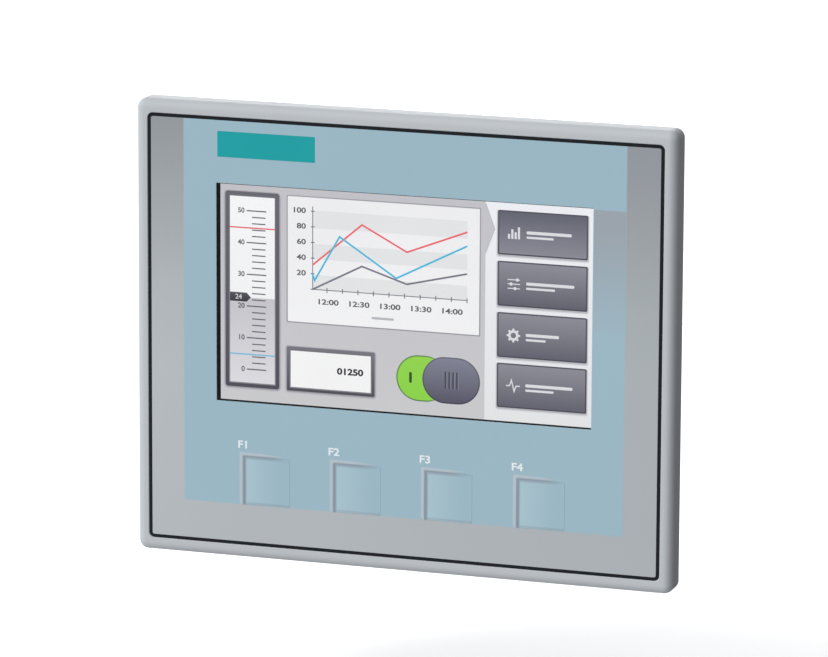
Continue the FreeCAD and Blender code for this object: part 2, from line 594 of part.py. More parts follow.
def main_board():
    """Main circuit board."""
    height = BOARD_TOP_Z - BOARD_BOTTOM
    board = slab(0, BOARD_BOTTOM + height / 2, 2 * BOARD_HALF_W, height, Y_BOARD, Y_BOARD_BACK, 1.5)
    for x, z in UPPER_SCREWS + LOWER_SCREWS:
        board = board.cut(rod_y(x, z, SMALL_SCREW_R + SCREW_GAP, Y_BOARD - 1, Y_BOARD_BACK + 1))
    for x, side in CLIP_SITES:
        board = board.cut(pocket_block(x, side, CLIP_POCKET_WALL + BOARD_CLEARANCE))
    return board


def board_screws():
    """Screws of the main board."""
    return Part.makeCompound([screw_y(x, z, SMALL_SCREW_R, SMALL_HEAD_R, SMALL_HEAD_T, SMALL_SOCKET_R,
                                      Y_BOARD_BACK, 4.4) for x, z in UPPER_SCREWS + LOWER_SCREWS])


def ribbon_connectors():
    """Three sockets for flat cables on the front of the main board."""
    sockets = [box(x - w / 2 - 1.5, x + w / 2 + 1.5, Y_BOARD - ZIF_H, Y_BOARD, Z_ZIF, Z_ZIF + ZIF_L)
               for x, w in (DISPLAY_RIBBON, TOUCH_RIBBON)]
    x, w = KEY_RIBBON
    low = KEY_ROW_Z + KEY_BOARD_H / 2 + 2.6
    sockets.append(box(x - w / 2 - 1.5, x + w / 2 + 1.5, Y_KEY_BOARD + KEY_BOARD_T / 4, Y_BOARD, low, low + 1.8))
    return Part.makeCompound(sockets)


def display_ribbon():
    """Flat cable from the display's lower edge through the plate to the main board."""
    x, w = DISPLAY_RIBBON
    y = Y_DISPLAY_BACK - 1.0
    return ribbon([(y, DISPLAY_BOTTOM), (y, Z_RIBBON), (Y_ZIF_ENTRY, Z_RIBBON), (Y_ZIF_ENTRY, Z_ZIF)], x, w)


def touch_ribbon():
    """Flat cable from the touch sensor's lower edge through the plate to the main board."""
    x, w = TOUCH_RIBBON
    y = Y_LEDGE_BACK - RIBBON_T
    top = WINDOW_Z - TOUCH_H / 2
    return ribbon([(y, top), (y, Z_RIBBON), (Y_ZIF_ENTRY, Z_RIBBON), (Y_ZIF_ENTRY, Z_ZIF)], x, w)


def key_ribbon():
    """Short flat cable from the key board to the main board."""
    x, w = KEY_RIBBON
    y = Y_KEY_BOARD + KEY_BOARD_T / 2
    top = KEY_ROW_Z + KEY_BOARD_H / 2
    return box(x - w / 2, x + w / 2, y - RIBBON_T / 2, y + RIBBON_T / 2, top, top + 2.6)


# ---------------------------------------------------------------- parts on the main board
def chip(x, z, w, h, t, y=None):
    """Flat package on the rear of the main board."""
    base = Y_BOARD_BACK if y is None else y
    return slab(x, z, w, h, base, base + t, 0.3)


def processor():
    """Main processor."""
    return chip(-14.0, 2.0, 17.0, 17.0, 1.5)


def memory_chips():
    """Working memory and program memory."""
    return Part.makeCompound([chip(6.0, 6.0, 11.0, 9.0, 1.2), chip(6.0, -6.0, 12.0, 8.0, 1.2)])


def control_chips():
    """Network, touch and power control circuits."""
    return Part.makeCompound([chip(21.0, -14.0, 7.0, 7.0, 1.0), chip(24.0, 12.0, 6.0, 6.0, 1.0),
                              chip(-34.0, -12.0, 5.0, 5.0, 1.0)])


def power_coils():
    """Shielded coils of the supply."""
    return Part.makeCompound([slab(-36.0, z, 10.0, 10.0, Y_BOARD_BACK, Y_BOARD_BACK + 4.5, 2.0)
                              for z in (-1.0, 12.0)])


def smoothing_capacitors():
    """Can capacitors of the supply."""
    cans = []
    for x, z in ((-24.0, -12.0), (-24.0, -21.0), (-40.0, -26.0)):
        can = rod_y(x, z, 4.0, Y_BOARD_BACK, Y_BOARD_BACK + 10.0)
        cans.append(fillet_where(can, 0.5, lambda p, e: p.y > Y_BOARD_BACK + 9.9 and e.Length > 9.0))
    return Part.makeCompound(cans)


def backup_capacitor():
    """Double-layer capacitor that keeps the clock running."""
    return rod_y(38.0, 6.0, 6.0, Y_BOARD_BACK, Y_BOARD_BACK + 5.5)


def buzzer():
    """Sounder that clicks when a key is touched."""
    body = rod_y(38.0, -10.0, 6.0, Y_BOARD_BACK, Y_BOARD_BACK + 8.5)
    return body.cut(rod_y(38.0, -10.0, 1.2, Y_BOARD_BACK + 7.0, Y_BOARD_BACK + 9.0))


# ---------------------------------------------------------------- ports
def port_space(x, w, y0, h, grow):
    """Block for a port's opening in the bottom wall."""
    return box(x - w / 2 - grow, x + w / 2 + grow, y0 - grow, y0 + h + grow,
               Z_BOTTOM - 1, Z_BOTTOM + HOUSING_WALL + 1)


def ethernet_shell():
    """Metal screen round the network socket, open at the mouth."""
    t = ETHERNET_SHELL_T
    outer = box(ETHERNET_X - ETHERNET_W / 2, ETHERNET_X + ETHERNET_W / 2, Y_ETHERNET, Y_ETHERNET + ETHERNET_H,
                Z_PORT, Z_PORT + ETHERNET_L)
    inner = box(ETHERNET_X - ETHERNET_W / 2 + t, ETHERNET_X + ETHERNET_W / 2 - t, Y_ETHERNET + t,
                Y_ETHERNET + ETHERNET_H - t, Z_PORT - 1, Z_PORT + ETHERNET_L - t)
    return outer.cut(inner)


def ethernet_insert():
    """Moulded core of the network socket with its cavity and latch slot."""
    t = ETHERNET_SHELL_T
    core = box(ETHERNET_X - ETHERNET_W / 2 + t, ETHERNET_X + ETHERNET_W / 2 - t, Y_ETHERNET + t,
               Y_ETHERNET + ETHERNET_H - t, Z_PORT + 0.2, Z_PORT + ETHERNET_L - t)
    mouth_y = Y_ETHERNET + t + 1.4
    mouth = box(ETHERNET_X - ETHERNET_MOUTH_W / 2, ETHERNET_X + ETHERNET_MOUTH_W / 2,
                mouth_y, mouth_y + ETHERNET_MOUTH_H, Z_PORT - 1, Z_PORT + ETHERNET_MOUTH_L)
    latch = box(ETHERNET_X - ETHERNET_LATCH_W / 2, ETHERNET_X + ETHERNET_LATCH_W / 2,
                mouth_y + ETHERNET_MOUTH_H, mouth_y + ETHERNET_MOUTH_H + ETHERNET_LATCH_H,
                Z_PORT - 1, Z_PORT + ETHERNET_MOUTH_L - 4)
    core = core.cut(mouth).cut(latch)
    for light in ethernet_light_boxes():
        core = core.cut(light)
    return core


def ethernet_light_boxes():
    """Blocks of the two indicator lights beside the latch slot."""
    y1 = Y_ETHERNET + ETHERNET_H - ETHERNET_SHELL_T - 0.4
    reach = ETHERNET_LATCH_W / 2 + 0.6 + ETHERNET_LED_W / 2
    return [box(ETHERNET_X + s * reach - ETHERNET_LED_W / 2, ETHERNET_X + s * reach + ETHERNET_LED_W / 2,
                y1 - ETHERNET_LED_H, y1, Z_PORT + 0.1, Z_PORT + 6.0) for s in (-1, 1)]


def ethernet_lights():
    """Two indicator lights at the network socket's mouth."""
    return Part.makeCompound(ethernet_light_boxes())


def ethernet_contacts():
    """Eight spring contacts at the back of the network socket's cavity."""
    y = Y_ETHERNET + ETHERNET_SHELL_T + 1.4
    z = Z_PORT + ETHERNET_MOUTH_L
    wires = []
    for i in range(8):
        x = ETHERNET_X + 1.02 * (i - 3.5)
        wires.append(box(x - 0.23, x + 0.23, y, y + 0.5, z - 5.0, z))
        wires[-1] = wires[-1].fuse(box(x - 0.23, x + 0.23, y + 0.5, y + 3.0, z - 0.5, z)).removeSplitter()
    return Part.makeCompound(wires)


def usb_shell():
    """Metal shell of the USB host socket."""
    t = USB_SHELL_T
    outer = box(USB_X - USB_W / 2, USB_X + USB_W / 2, Y_USB, Y_USB + USB_H, Z_PORT, Z_PORT + USB_L)
    inner = box(USB_X - USB_W / 2 + t, USB_X + USB_W / 2 - t, Y_USB + t, Y_USB + USB_H - t,
                Z_PORT - 1, Z_PORT + USB_L + 1)
    foot = box(USB_X - USB_W / 2, USB_X + USB_W / 2, Y_BOARD_BACK, Y_USB, BOARD_BOTTOM + 0.5, Z_PORT + USB_L)
    return outer.cut(inner).fuse(foot).removeSplitter()


def usb_insert():
    """Insulator of the USB socket with its tongue."""
    t = USB_SHELL_T + THIN_FIT
    back = box(USB_X - USB_W / 2 + t, USB_X + USB_W / 2 - t, Y_USB + t, Y_USB + USB_H - t,
               Z_PORT + USB_TONGUE_L, Z_PORT + USB_L)
    tongue = box(USB_X - 5.55, USB_X + 5.55, Y_USB + USB_H - t - 0.4 - USB_TONGUE_T, Y_USB + USB_H - t - 0.4,
                 Z_PORT + 0.8, Z_PORT + USB_TONGUE_L)
    return back.fuse(tongue).removeSplitter()


def usb_contacts():
    """Four contact strips under the USB tongue."""
    y = Y_USB + USB_H - USB_SHELL_T - THIN_FIT - 0.4 - USB_TONGUE_T
    return Part.makeCompound([box(USB_X + dx - 0.5, USB_X + dx + 0.5, y - 0.15, y, Z_PORT + 1.6,
                                  Z_PORT + USB_TONGUE_L) for dx in (-3.5, -1.0, 1.0, 3.5)])


def power_socket():
    """Shrouded header that takes the power plug."""
    block = box(POWER_X - SOCKET_W / 2, POWER_X + SOCKET_W / 2, Y_SOCKET, Y_SOCKET + SOCKET_H,
                Z_PORT, Z_PORT + SOCKET_L)
    well = box(POWER_X - PLUG_W / 2 - PLUG_GAP, POWER_X + PLUG_W / 2 + PLUG_GAP,
               Y_POWER - PLUG_H / 2 - PLUG_GAP, Y_POWER + PLUG_H / 2 + PLUG_GAP, Z_PORT - 1, Z_SOCKET_FLOOR)
    block = block.cut(well)
    for x in POWER_XS:
        block = block.cut(box(x - PIN_SIZE / 2, x + PIN_SIZE / 2, Y_POWER - PIN_SIZE / 2, Y_POWER + PIN_SIZE / 2,
                              Z_SOCKET_FLOOR - 1, Z_PORT + SOCKET_L + 1))
    return block


def power_pins():
    """Contact pins of the power socket."""
    return Part.makeCompound([box(x - PIN_SIZE / 2, x + PIN_SIZE / 2, Y_POWER - PIN_SIZE / 2,
                                  Y_POWER + PIN_SIZE / 2, Z_PORT + 1.8, Z_PORT + SOCKET_L) for x in POWER_XS])


def power_plug():
    """Pull-off terminal plug: its nose fits the socket and its grip stands out of the housing."""
    nose = box(POWER_X - PLUG_W / 2, POWER_X + PLUG_W / 2, Y_POWER - PLUG_H / 2, Y_POWER + PLUG_H / 2,
               Z_PLUG_STEP, Z_SOCKET_FLOOR - PLUG_GAP)
    grip = box(POWER_X - PLUG_W / 2 - PLUG_GRIP, POWER_X + PLUG_W / 2 + PLUG_GRIP,
               Y_POWER - PLUG_H / 2 - PLUG_GRIP, Y_POWER + PLUG_H / 2 + PLUG_GRIP, Z_PLUG_END, Z_PLUG_STEP)
    grip = fillet_where(grip, 0.4, lambda p, e: p.z < Z_PLUG_STEP - 0.01)
    plug = nose.fuse(grip)
    back = Y_POWER + PLUG_H / 2 + PLUG_GRIP
    hole = PIN_SIZE / 2 + PLUG_GAP
    for x in POWER_XS:
        plug = plug.cut(box(x - hole, x + hole, Y_POWER - hole, Y_POWER + hole,
                            Z_PORT + 1.8 - PLUG_GAP, Z_SOCKET_FLOOR + 1))
        plug = plug.cut(box(x - WIRE_W / 2, x + WIRE_W / 2, Y_POWER - WIRE_H / 2, Y_POWER + WIRE_H / 2,
                            Z_PLUG_END - 1, Z_PLUG_END + WIRE_L))
        plug = plug.cut(rod_y(x, Z_TERMINAL, TERMINAL_R + SCREW_GAP, Y_POWER + WIRE_H / 2 - 0.5, back + 1))
    return plug.removeSplitter()


def terminal_screw(x):
    """Slotted screw that clamps one wire in the plug."""
    back = Y_POWER + PLUG_H / 2 + PLUG_GRIP - 0.3
    head = rod_y(x, Z_TERMINAL, TERMINAL_R, back - TERMINAL_T, back)
    shank = rod_y(x, Z_TERMINAL, TERMINAL_R - 0.5, Y_POWER + WIRE_H / 2 - 0.8, back - TERMINAL_T)
    slot = box(x - 0.3, x + 0.3, back - 0.7, back + 1, Z_TERMINAL - TERMINAL_R - 1, Z_TERMINAL + TERMINAL_R + 1)
    return head.fuse(shank).cut(slot).removeSplitter()


# ---------------------------------------------------------------- rear cover
def rear_cover():
    """Moulded rear shell with screw columns, clip pockets, vents and port openings."""
    y0 = Y_RIM_BACK
    shell = slab(0, 0, HOUSING_W, HOUSING_H, y0, Y_REAR, HOUSING_CORNER_R)
    shell = fillet_where(shell, HOUSING_EDGE_R, lambda p, e: p.y > Y_REAR - 0.01)
    shell = shell.cut(slab(0, 0, INNER_W, INNER_H, y0 - 1, Y_REAR - HOUSING_WALL, HOUSING_CORNER_R - HOUSING_WALL))
    keep = slab(0, 0, HOUSING_W, HOUSING_H, y0, Y_REAR, HOUSING_CORNER_R)
    columns = [rod_y(x, z, COLUMN_R, COLUMN_START, Y_REAR - 0.5).common(keep) for x, z in COVER_SCREWS]
    pockets = [pocket_block(x, side, CLIP_POCKET_WALL) for x, side in CLIP_SITES]
    shell = shell.multiFuse(columns + pockets)

    cuts = [pocket_block(x, side, 0.0) for x, side in CLIP_SITES]
    for x, z in COVER_SCREWS:
        cuts.append(rod_y(x, z, SCREW_R + SCREW_GAP, COLUMN_START - 1, COLUMN_START + COLUMN_FLOOR_T + 1))
        cuts.append(rod_y(x, z, SCREW_HEAD_R + 0.3, COLUMN_START + COLUMN_FLOOR_T, Y_REAR + 1))
    cuts.append(port_space(ETHERNET_X, ETHERNET_W, Y_ETHERNET, ETHERNET_H, PORT_GAP))
    cuts.append(port_space(USB_X, USB_W, Y_USB, USB_H, PORT_GAP))
    cuts.append(port_space(POWER_X, SOCKET_W, Y_SOCKET, SOCKET_H, PORT_GAP))
    cuts.append(slab(0, LABEL_Z, LABEL_W + 2 * FIT, LABEL_H + 2 * FIT, Y_REAR - LABEL_SEAT, Y_REAR + 1, 1.0))
    cuts += vent_cuts()
    for cutter in cuts:
        shell = shell.cut(cutter)
    return shell.removeSplitter()


def pocket_block(x, side, wall):
    """Block of one clip pocket, with its wall round it when wall is given."""
    z_open = HOUSING_H / 2 + (1.0 if wall == 0 else 0.0)
    z_floor = HOUSING_H / 2 - CLIP_FOOT_DEPTH - FIT - wall
    half = CLIP_W / 2 + FIT + wall
    shape = box(x - half, x + half, CLIP_Y - FIT - wall, CLIP_Y + CLIP_FOOT_L + FIT + wall, z_floor, z_open)
    if wall:
        shape = shape.common(box(-FRONT_W, FRONT_W, 0, Y_REAR, 0, HOUSING_H / 2 - 0.5))
    return shape if side > 0 else flip_z(shape)


def vent_cuts():
    """Slots in the top wall, and two groups of slots in the rear wall."""
    cuts = []
    for i in range(VENT_COUNT):
        x = VENT_PITCH * (i - (VENT_COUNT - 1) / 2)
        cuts.append(box(x - VENT_W / 2, x + VENT_W / 2, 6.0, Y_REAR - 6.0,
                        HOUSING_H / 2 - HOUSING_WALL - 1, HOUSING_H / 2 + 1))
    for i in range(REAR_VENT_COUNT):
        z = HOUSING_H / 2 - 9.0 - VENT_PITCH * i
        for side in (-1, 1):
            x = side * (LABEL_W / 2 + 4.0 + REAR_VENT_L / 4)
            slot = slab(x, z, REAR_VENT_L / 2, VENT_W, Y_REAR - HOUSING_WALL - 1, Y_REAR + 1, VENT_W / 2 - 0.05)
            cuts.append(slot)
    for i in range(REAR_VENT_COUNT):
        z = -HOUSING_H / 2 + 9.0 + VENT_PITCH * i
        cuts.append(slab(0, z, REAR_VENT_L, VENT_W, Y_REAR - HOUSING_WALL - 1, Y_REAR + 1, VENT_W / 2 - 0.05))
    return cuts


def cover_screws():
    """Screws that hold the rear cover to the front frame."""
    return Part.makeCompound([screw_y(x, z, SCREW_R, SCREW_HEAD_R, SCREW_HEAD_T, SCREW_SOCKET_R,
                                      COLUMN_START + COLUMN_FLOOR_T, 9.0) for x, z in COVER_SCREWS])


def rear_label():
    """Blank rating label in its seat on the rear cover."""
    return slab(0, LABEL_Z, LABEL_W, LABEL_H, Y_REAR - LABEL_SEAT, Y_REAR - LABEL_SEAT + LABEL_T, 0.8)


# ---------------------------------------------------------------- mounting clips
def mounting_clips():
    """Four clips, each with a foot in the housing and a head that holds the clamping screw."""
    return Part.makeCompound([mounting_clip(x, side) for x, side in CLIP_SITES])


def mounting_clip(x, side):
    """One clip, above (side 1) or below (side -1) the housing."""
    top = HOUSING_H / 2
    foot = box(x - CLIP_W / 2, x + CLIP_W / 2, CLIP_Y, CLIP_Y + CLIP_FOOT_L, top - CLIP_FOOT_DEPTH, top)
    head = box(x - CLIP_W / 2, x + CLIP_W / 2, CLIP_HEAD_Y, CLIP_HEAD_Y + CLIP_HEAD_L, top, top + CLIP_HEAD_H)
    head = fillet_where(head, 0.8, lambda p, e: p.z > top + CLIP_HEAD_H - 0.01)
    clip = foot.fuse(head)
    clip = clip.cut(rod_y(x, top + CLIP_SCREW_UP, CLIP_SCREW_R + SCREW_GAP, CLIP_HEAD_Y - 1,
                          CLIP_HEAD_Y + CLIP_HEAD_L + 1))
    clip = clip.removeSplitter()
    return clip if side > 0 else flip_z(clip)


def clip_screw(x, side):
    """Clamping screw: its tip presses on the back of the cabinet door."""
    z = HOUSING_H / 2 + CLIP_SCREW_UP
    y_head = CLIP_HEAD_Y + CLIP_HEAD_L + CLIP_SCREW_TRAVEL + FIT
    shank = rod_y(x, z, CLIP_SCREW_R, CLIP_SCREW_TIP_Y, y_head)
    shank = shank.makeChamfer(0.4, [e for e in shank.Edges if e.BoundBox.YMax < CLIP_SCREW_TIP_Y + 0.01])
    head = rod_y(x, z, CLIP_SCREW_HEAD_R, y_head, y_head + CLIP_SCREW_HEAD_T)
    slot = box(x - CLIP_SCREW_HEAD_R - 1, x + CLIP_SCREW_HEAD_R + 1, y_head + 1.0, y_head + CLIP_SCREW_HEAD_T + 1,
               z - 0.4, z + 0.4)
    screw = shank.fuse(head).cut(slot).removeSplitter()
    return screw if side > 0 else flip_z(screw)


# ---------------------------------------------------------------- the whole panel
SINGLE_PIECES = [front_frame, front_overlay, window_film, overlay_bond, seam_seal, panel_gasket,
                 touch_film, touch_glass, display_frame, display_panel, light_guide, led_bar, display_tray,
                 display_cushions, key_switches, key_board, key_board_screws, chassis_plate,
                 plate_screws, board_spacers, main_board, board_screws, ribbon_connectors, display_ribbon,
                 touch_ribbon, key_ribbon, processor, memory_chips, control_chips, power_coils,
                 smoothing_capacitors, backup_capacitor, buzzer, ethernet_shell, ethernet_insert,
                 ethernet_lights, ethernet_contacts, usb_shell, usb_insert, usb_contacts, power_socket, power_pins, power_plug,
                 rear_cover, cover_screws, rear_label, mounting_clips]


def save(name, shape):
    """Writes one piece to its STEP file and prints its size."""
    shape.exportStep(os.path.join(OUT, name + ".step"))
    bounds = shape.BoundBox
    print("%-22s %2d solids %9.1f mm3 valid %s  %.1f x %.1f x %.1f" % (
        name, len(shape.Solids), shape.Volume, shape.isValid(), bounds.XLength, bounds.YLength, bounds.ZLength))


def main():
    """Builds and saves every piece."""
    os.makedirs(OUT, exist_ok=True)
    for make in SINGLE_PIECES:
        save(make.__name__, make())
    for i, x in enumerate(KEY_XS, 1):
        save("key_%d" % i, key(x))
    for i, x in enumerate(POWER_XS, 1):
        save("terminal_screw_%d" % i, terminal_screw(x))
    for i, (x, side) in enumerate(CLIP_SITES, 1):
        save("clip_screw_%d" % i, clip_screw(x, side))


main()
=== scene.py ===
"""Touch panel with a display and four function keys, dressed for rendering.

Lengths are written in millimetres and turned into metres where a mesh is made.
+X is the operator's right, +Y runs into the cabinet and +Z is up.
"""
import logging
import math
from dataclasses import dataclass, replace
from enum import Enum
from typing import Dict, Iterable, List, Optional, Sequence, Tuple

import bmesh
import bpy
from mathutils import Matrix, Vector

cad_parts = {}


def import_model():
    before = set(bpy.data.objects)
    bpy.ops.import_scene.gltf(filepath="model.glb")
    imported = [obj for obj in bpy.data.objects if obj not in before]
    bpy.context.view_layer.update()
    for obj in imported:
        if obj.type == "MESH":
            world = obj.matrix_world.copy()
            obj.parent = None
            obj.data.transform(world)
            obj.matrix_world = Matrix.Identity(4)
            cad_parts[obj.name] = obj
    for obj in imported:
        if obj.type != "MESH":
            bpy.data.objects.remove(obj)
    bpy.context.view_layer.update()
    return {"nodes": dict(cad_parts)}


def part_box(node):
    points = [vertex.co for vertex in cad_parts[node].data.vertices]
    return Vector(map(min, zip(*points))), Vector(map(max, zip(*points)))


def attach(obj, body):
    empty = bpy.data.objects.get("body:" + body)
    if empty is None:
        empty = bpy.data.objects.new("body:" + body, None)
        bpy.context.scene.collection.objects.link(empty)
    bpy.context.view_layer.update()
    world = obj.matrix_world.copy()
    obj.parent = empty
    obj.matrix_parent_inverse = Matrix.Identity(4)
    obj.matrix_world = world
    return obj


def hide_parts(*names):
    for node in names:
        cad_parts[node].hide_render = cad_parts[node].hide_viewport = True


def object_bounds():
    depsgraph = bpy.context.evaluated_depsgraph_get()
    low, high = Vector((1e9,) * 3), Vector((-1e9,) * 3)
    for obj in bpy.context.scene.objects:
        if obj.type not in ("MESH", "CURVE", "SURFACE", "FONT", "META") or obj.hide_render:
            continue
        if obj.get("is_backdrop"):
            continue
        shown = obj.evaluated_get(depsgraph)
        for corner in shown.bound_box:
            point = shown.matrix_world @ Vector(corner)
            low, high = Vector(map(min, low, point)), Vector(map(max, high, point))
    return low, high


MM = 0.001
HOUSING = "housing"
FINISH_MARK = "_finish"

Point = Tuple[float, float]
Rgb = Tuple[float, float, float]

log = logging.getLogger("touch_panel")


# ------------------------------------------------------------------ colour and node helpers
def linear(rgb: Rgb) -> Tuple[float, float, float, float]:
    """Turns a display colour into the linear colour that a shader takes.

    Args:
        rgb: Red, green and blue from 0 to 255.

    Returns:
        Linear red, green, blue and an alpha of 1.
    """
    parts = []
    for value in rgb:
        v = value / 255.0
        parts.append(v / 12.92 if v <= 0.04045 else ((v + 0.055) / 1.055) ** 2.4)
    return (parts[0], parts[1], parts[2], 1.0)


class Graph:
    """A material's node tree with a principled shader at its end."""

    def __init__(self, name: str) -> None:
        """Makes an empty material.

        Args:
            name: The material's name.
        """
        self.material = bpy.data.materials.new(name + FINISH_MARK)
        self.material.use_nodes = True
        self.tree = self.material.node_tree
        self.tree.nodes.clear()
        output = self.tree.nodes.new("ShaderNodeOutputMaterial")
        self.shader = self.tree.nodes.new("ShaderNodeBsdfPrincipled")
        self.tree.links.new(self.shader.outputs["BSDF"], output.inputs["Surface"])
        self.place = self.tree.nodes.new("ShaderNodeTexCoord").outputs["Object"]
        self._axes: Optional[bpy.types.Node] = None

    def set(self, **values: object) -> None:
        """Sets constant numbers on the shader, with _ for a space in a socket's name."""
        for key, value in values.items():
            self.shader.inputs[key.replace("_", " ")].default_value = value

    def link(self, source: bpy.types.NodeSocket, target: bpy.types.NodeSocket) -> None:
        """Joins two sockets."""
        self.tree.links.new(source, target)

    def math(self, operation: str, a: object, b: object = 0.0) -> bpy.types.NodeSocket:
        """Adds a math node.

        Args:
            operation: Blender's name for the operation.
            a: First socket or number.
            b: Second socket or number.

        Returns:
            The node's result.
        """
        node = self.tree.nodes.new("ShaderNodeMath")
        node.operation = operation
        for slot, value in enumerate((a, b)):
            if isinstance(value, bpy.types.NodeSocket):
                self.link(value, node.inputs[slot])
            else:
                node.inputs[slot].default_value = value
        return node.outputs[0]

    def axis(self, letter: str) -> bpy.types.NodeSocket:
        """One coordinate of the surface, in millimetres.

        Args:
            letter: X, Y or Z.

        Returns:
            The coordinate, in millimetres.
        """
        if self._axes is None:
            self._axes = self.tree.nodes.new("ShaderNodeSeparateXYZ")
            self.link(self.place, self._axes.inputs[0])
        return self.math("MULTIPLY", self._axes.outputs[letter], 1.0 / MM)

    def between(self, value: bpy.types.NodeSocket, low: float, high: float) -> bpy.types.NodeSocket:
        """A ramp that is 0 at low and 1 at high, and may run downwards.

        Args:
            value: What is measured.
            low: Where the ramp is 0.
            high: Where the ramp is 1.

        Returns:
            The ramp's value, kept between 0 and 1.
        """
        node = self.tree.nodes.new("ShaderNodeMapRange")
        node.clamp = True
        self.link(value, node.inputs["Value"])
        node.inputs["From Min"].default_value = low
        node.inputs["From Max"].default_value = high
        return node.outputs["Result"]

    def inside(self, value: bpy.types.NodeSocket, low: float, high: float, soft: float) -> bpy.types.NodeSocket:
        """1 between low and high, 0 outside, with edges that are soft millimetres wide.

        Args:
            value: The value tested.
            low: Where the stretch starts.
            high: Where it ends.
            soft: How far each end fades.

        Returns:
            1 inside the stretch, 0 outside.
        """
        rise = self.between(value, low - soft / 2, low + soft / 2)
        fall = self.between(value, high + soft / 2, high - soft / 2)
        return self.math("MULTIPLY", rise, fall)

    def blend(self, amount: object, a: object, b: object) -> bpy.types.NodeSocket:
        """Mixes two colours.

        Args:
            amount: Socket or number from 0 to 1.
            a: First colour, as a socket or an rgb from 0 to 255.
            b: Second colour, as a socket or an rgb from 0 to 255.

        Returns:
            The mixed colour.
        """
        node = self.tree.nodes.new("ShaderNodeMix")
        node.data_type = "RGBA"
        for socket, value in ((node.inputs[0], amount), (node.inputs[6], a), (node.inputs[7], b)):
            if isinstance(value, bpy.types.NodeSocket):
                self.link(value, socket)
            elif isinstance(value, tuple):
                socket.default_value = linear(value)
            else:
                socket.default_value = value
        return node.outputs[2]

    def ramp(self, value: bpy.types.NodeSocket, stops: Sequence[Tuple[float, Rgb]]) -> bpy.types.NodeSocket:
        """A colour ramp.

        Args:
            value: Where on the ramp, from 0 to 1.
            stops: Positions and their colours.

        Returns:
            The colour.
        """
        node = self.tree.nodes.new("ShaderNodeValToRGB")
        while len(node.color_ramp.elements) < len(stops):
            node.color_ramp.elements.new(1.0)
        for element, (place, rgb) in zip(node.color_ramp.elements, stops):
            element.position = place
            element.color = linear(rgb)
        self.link(value, node.inputs["Fac"])
        return node.outputs["Color"]

    def noise(self, per_mm: float, detail: float = 2.0,
              stretch: Tuple[float, float, float] = (1, 1, 1)) -> bpy.types.NodeSocket:
        """Fine noise.

        Args:
            per_mm: Features per millimetre.
            detail: How many finer layers are added.
            stretch: Scale along each axis.

        Returns:
            A value from 0 to 1.
        """
        mapping = self.tree.nodes.new("ShaderNodeMapping")
        mapping.inputs["Scale"].default_value = stretch
        self.link(self.place, mapping.inputs["Vector"])
        node = self.tree.nodes.new("ShaderNodeTexNoise")
        node.inputs["Scale"].default_value = per_mm / MM
        node.inputs["Detail"].default_value = detail
        self.link(mapping.outputs[0], node.inputs["Vector"])
        return node.outputs["Fac"]

    def colour(self, value: bpy.types.NodeSocket) -> None:
        """Gives the surface its colour."""
        self.link(value, self.shader.inputs["Base Color"])

    def bump(self, height: bpy.types.NodeSocket, depth_mm: float, strength: float = 1.0) -> None:
        """Roughens the surface by a height map.

        Args:
            height: The height, 0 to 1.
            depth_mm: How deep the relief is, in millimetres.
            strength: How strongly it shows.
        """
        node = self.tree.nodes.new("ShaderNodeBump")
        node.inputs["Strength"].default_value = strength
        node.inputs["Distance"].default_value = depth_mm * MM
        self.link(height, node.inputs["Height"])
        self.link(node.outputs["Normal"], self.shader.inputs["Normal"])

    def roughness(self, value: bpy.types.NodeSocket, low: float, high: float) -> None:
        """Lets the gloss vary between two roughnesses.

        Args:
            value: What it follows, 0 to 1.
            low: Roughness at 0.
            high: Roughness at 1.
        """
        node = self.tree.nodes.new("ShaderNodeMapRange")
        self.link(value, node.inputs["Value"])
        node.inputs["To Min"].default_value = low
        node.inputs["To Max"].default_value = high
        self.link(node.outputs["Result"], self.shader.inputs["Roughness"])


# ------------------------------------------------------------------ finishes
@dataclass(frozen=True)
class Finish:
    """A named surface finish."""

    name: str

    def material(self) -> bpy.types.Material:
        """The finish as a material, made once."""
        made = bpy.data.materials.get(self.name + FINISH_MARK)
        return made if made else self.build()

    def build(self) -> bpy.types.Material:
        """Makes the material."""
        raise NotImplementedError


@dataclass(frozen=True)
class MouldedPlastic(Finish):
    """Injection-moulded plastic with a fine spark-eroded grain."""

    rgb: Rgb
    rough: float = 0.5
    grain_per_mm: float = 2.2
    grain_mm: float = 0.012
    mottle: float = 0.05
    shine: float = 0.4

    def build(self) -> bpy.types.Material:
        """Makes the material.

        Returns:
            The material.
        """
        g = Graph(self.name)
        grain = g.noise(self.grain_per_mm, 3.0)
        cloud = g.noise(0.04, 2.0)
        dark = tuple(c * (1 - self.mottle) for c in self.rgb)
        pale = tuple(min(255.0, c * (1 + self.mottle)) for c in self.rgb)
        g.colour(g.blend(cloud, dark, pale))
        g.roughness(grain, self.rough - 0.06, self.rough + 0.08)
        g.set(Specular_IOR_Level=self.shine)
        g.bump(grain, self.grain_mm, 0.5)
        return g.material


@dataclass(frozen=True)
class SheetMetal(Finish):
    """Bare or plated metal with a rolled or turned grain along one axis."""

    rgb: Rgb
    rough: float = 0.35
    stretch: Tuple[float, float, float] = (0.05, 1.0, 1.0)
    grain_mm: float = 0.004

    def build(self) -> bpy.types.Material:
        """Makes the material.

        Returns:
            The material.
        """
        g = Graph(self.name)
        grain = g.noise(3.0, 4.0, self.stretch)
        dark = tuple(c * 0.9 for c in self.rgb)
        g.colour(g.blend(grain, dark, self.rgb))
        g.roughness(grain, self.rough - 0.08, self.rough + 0.1)
        g.set(Metallic=1.0)
        g.bump(grain, self.grain_mm, 0.4)
        return g.material


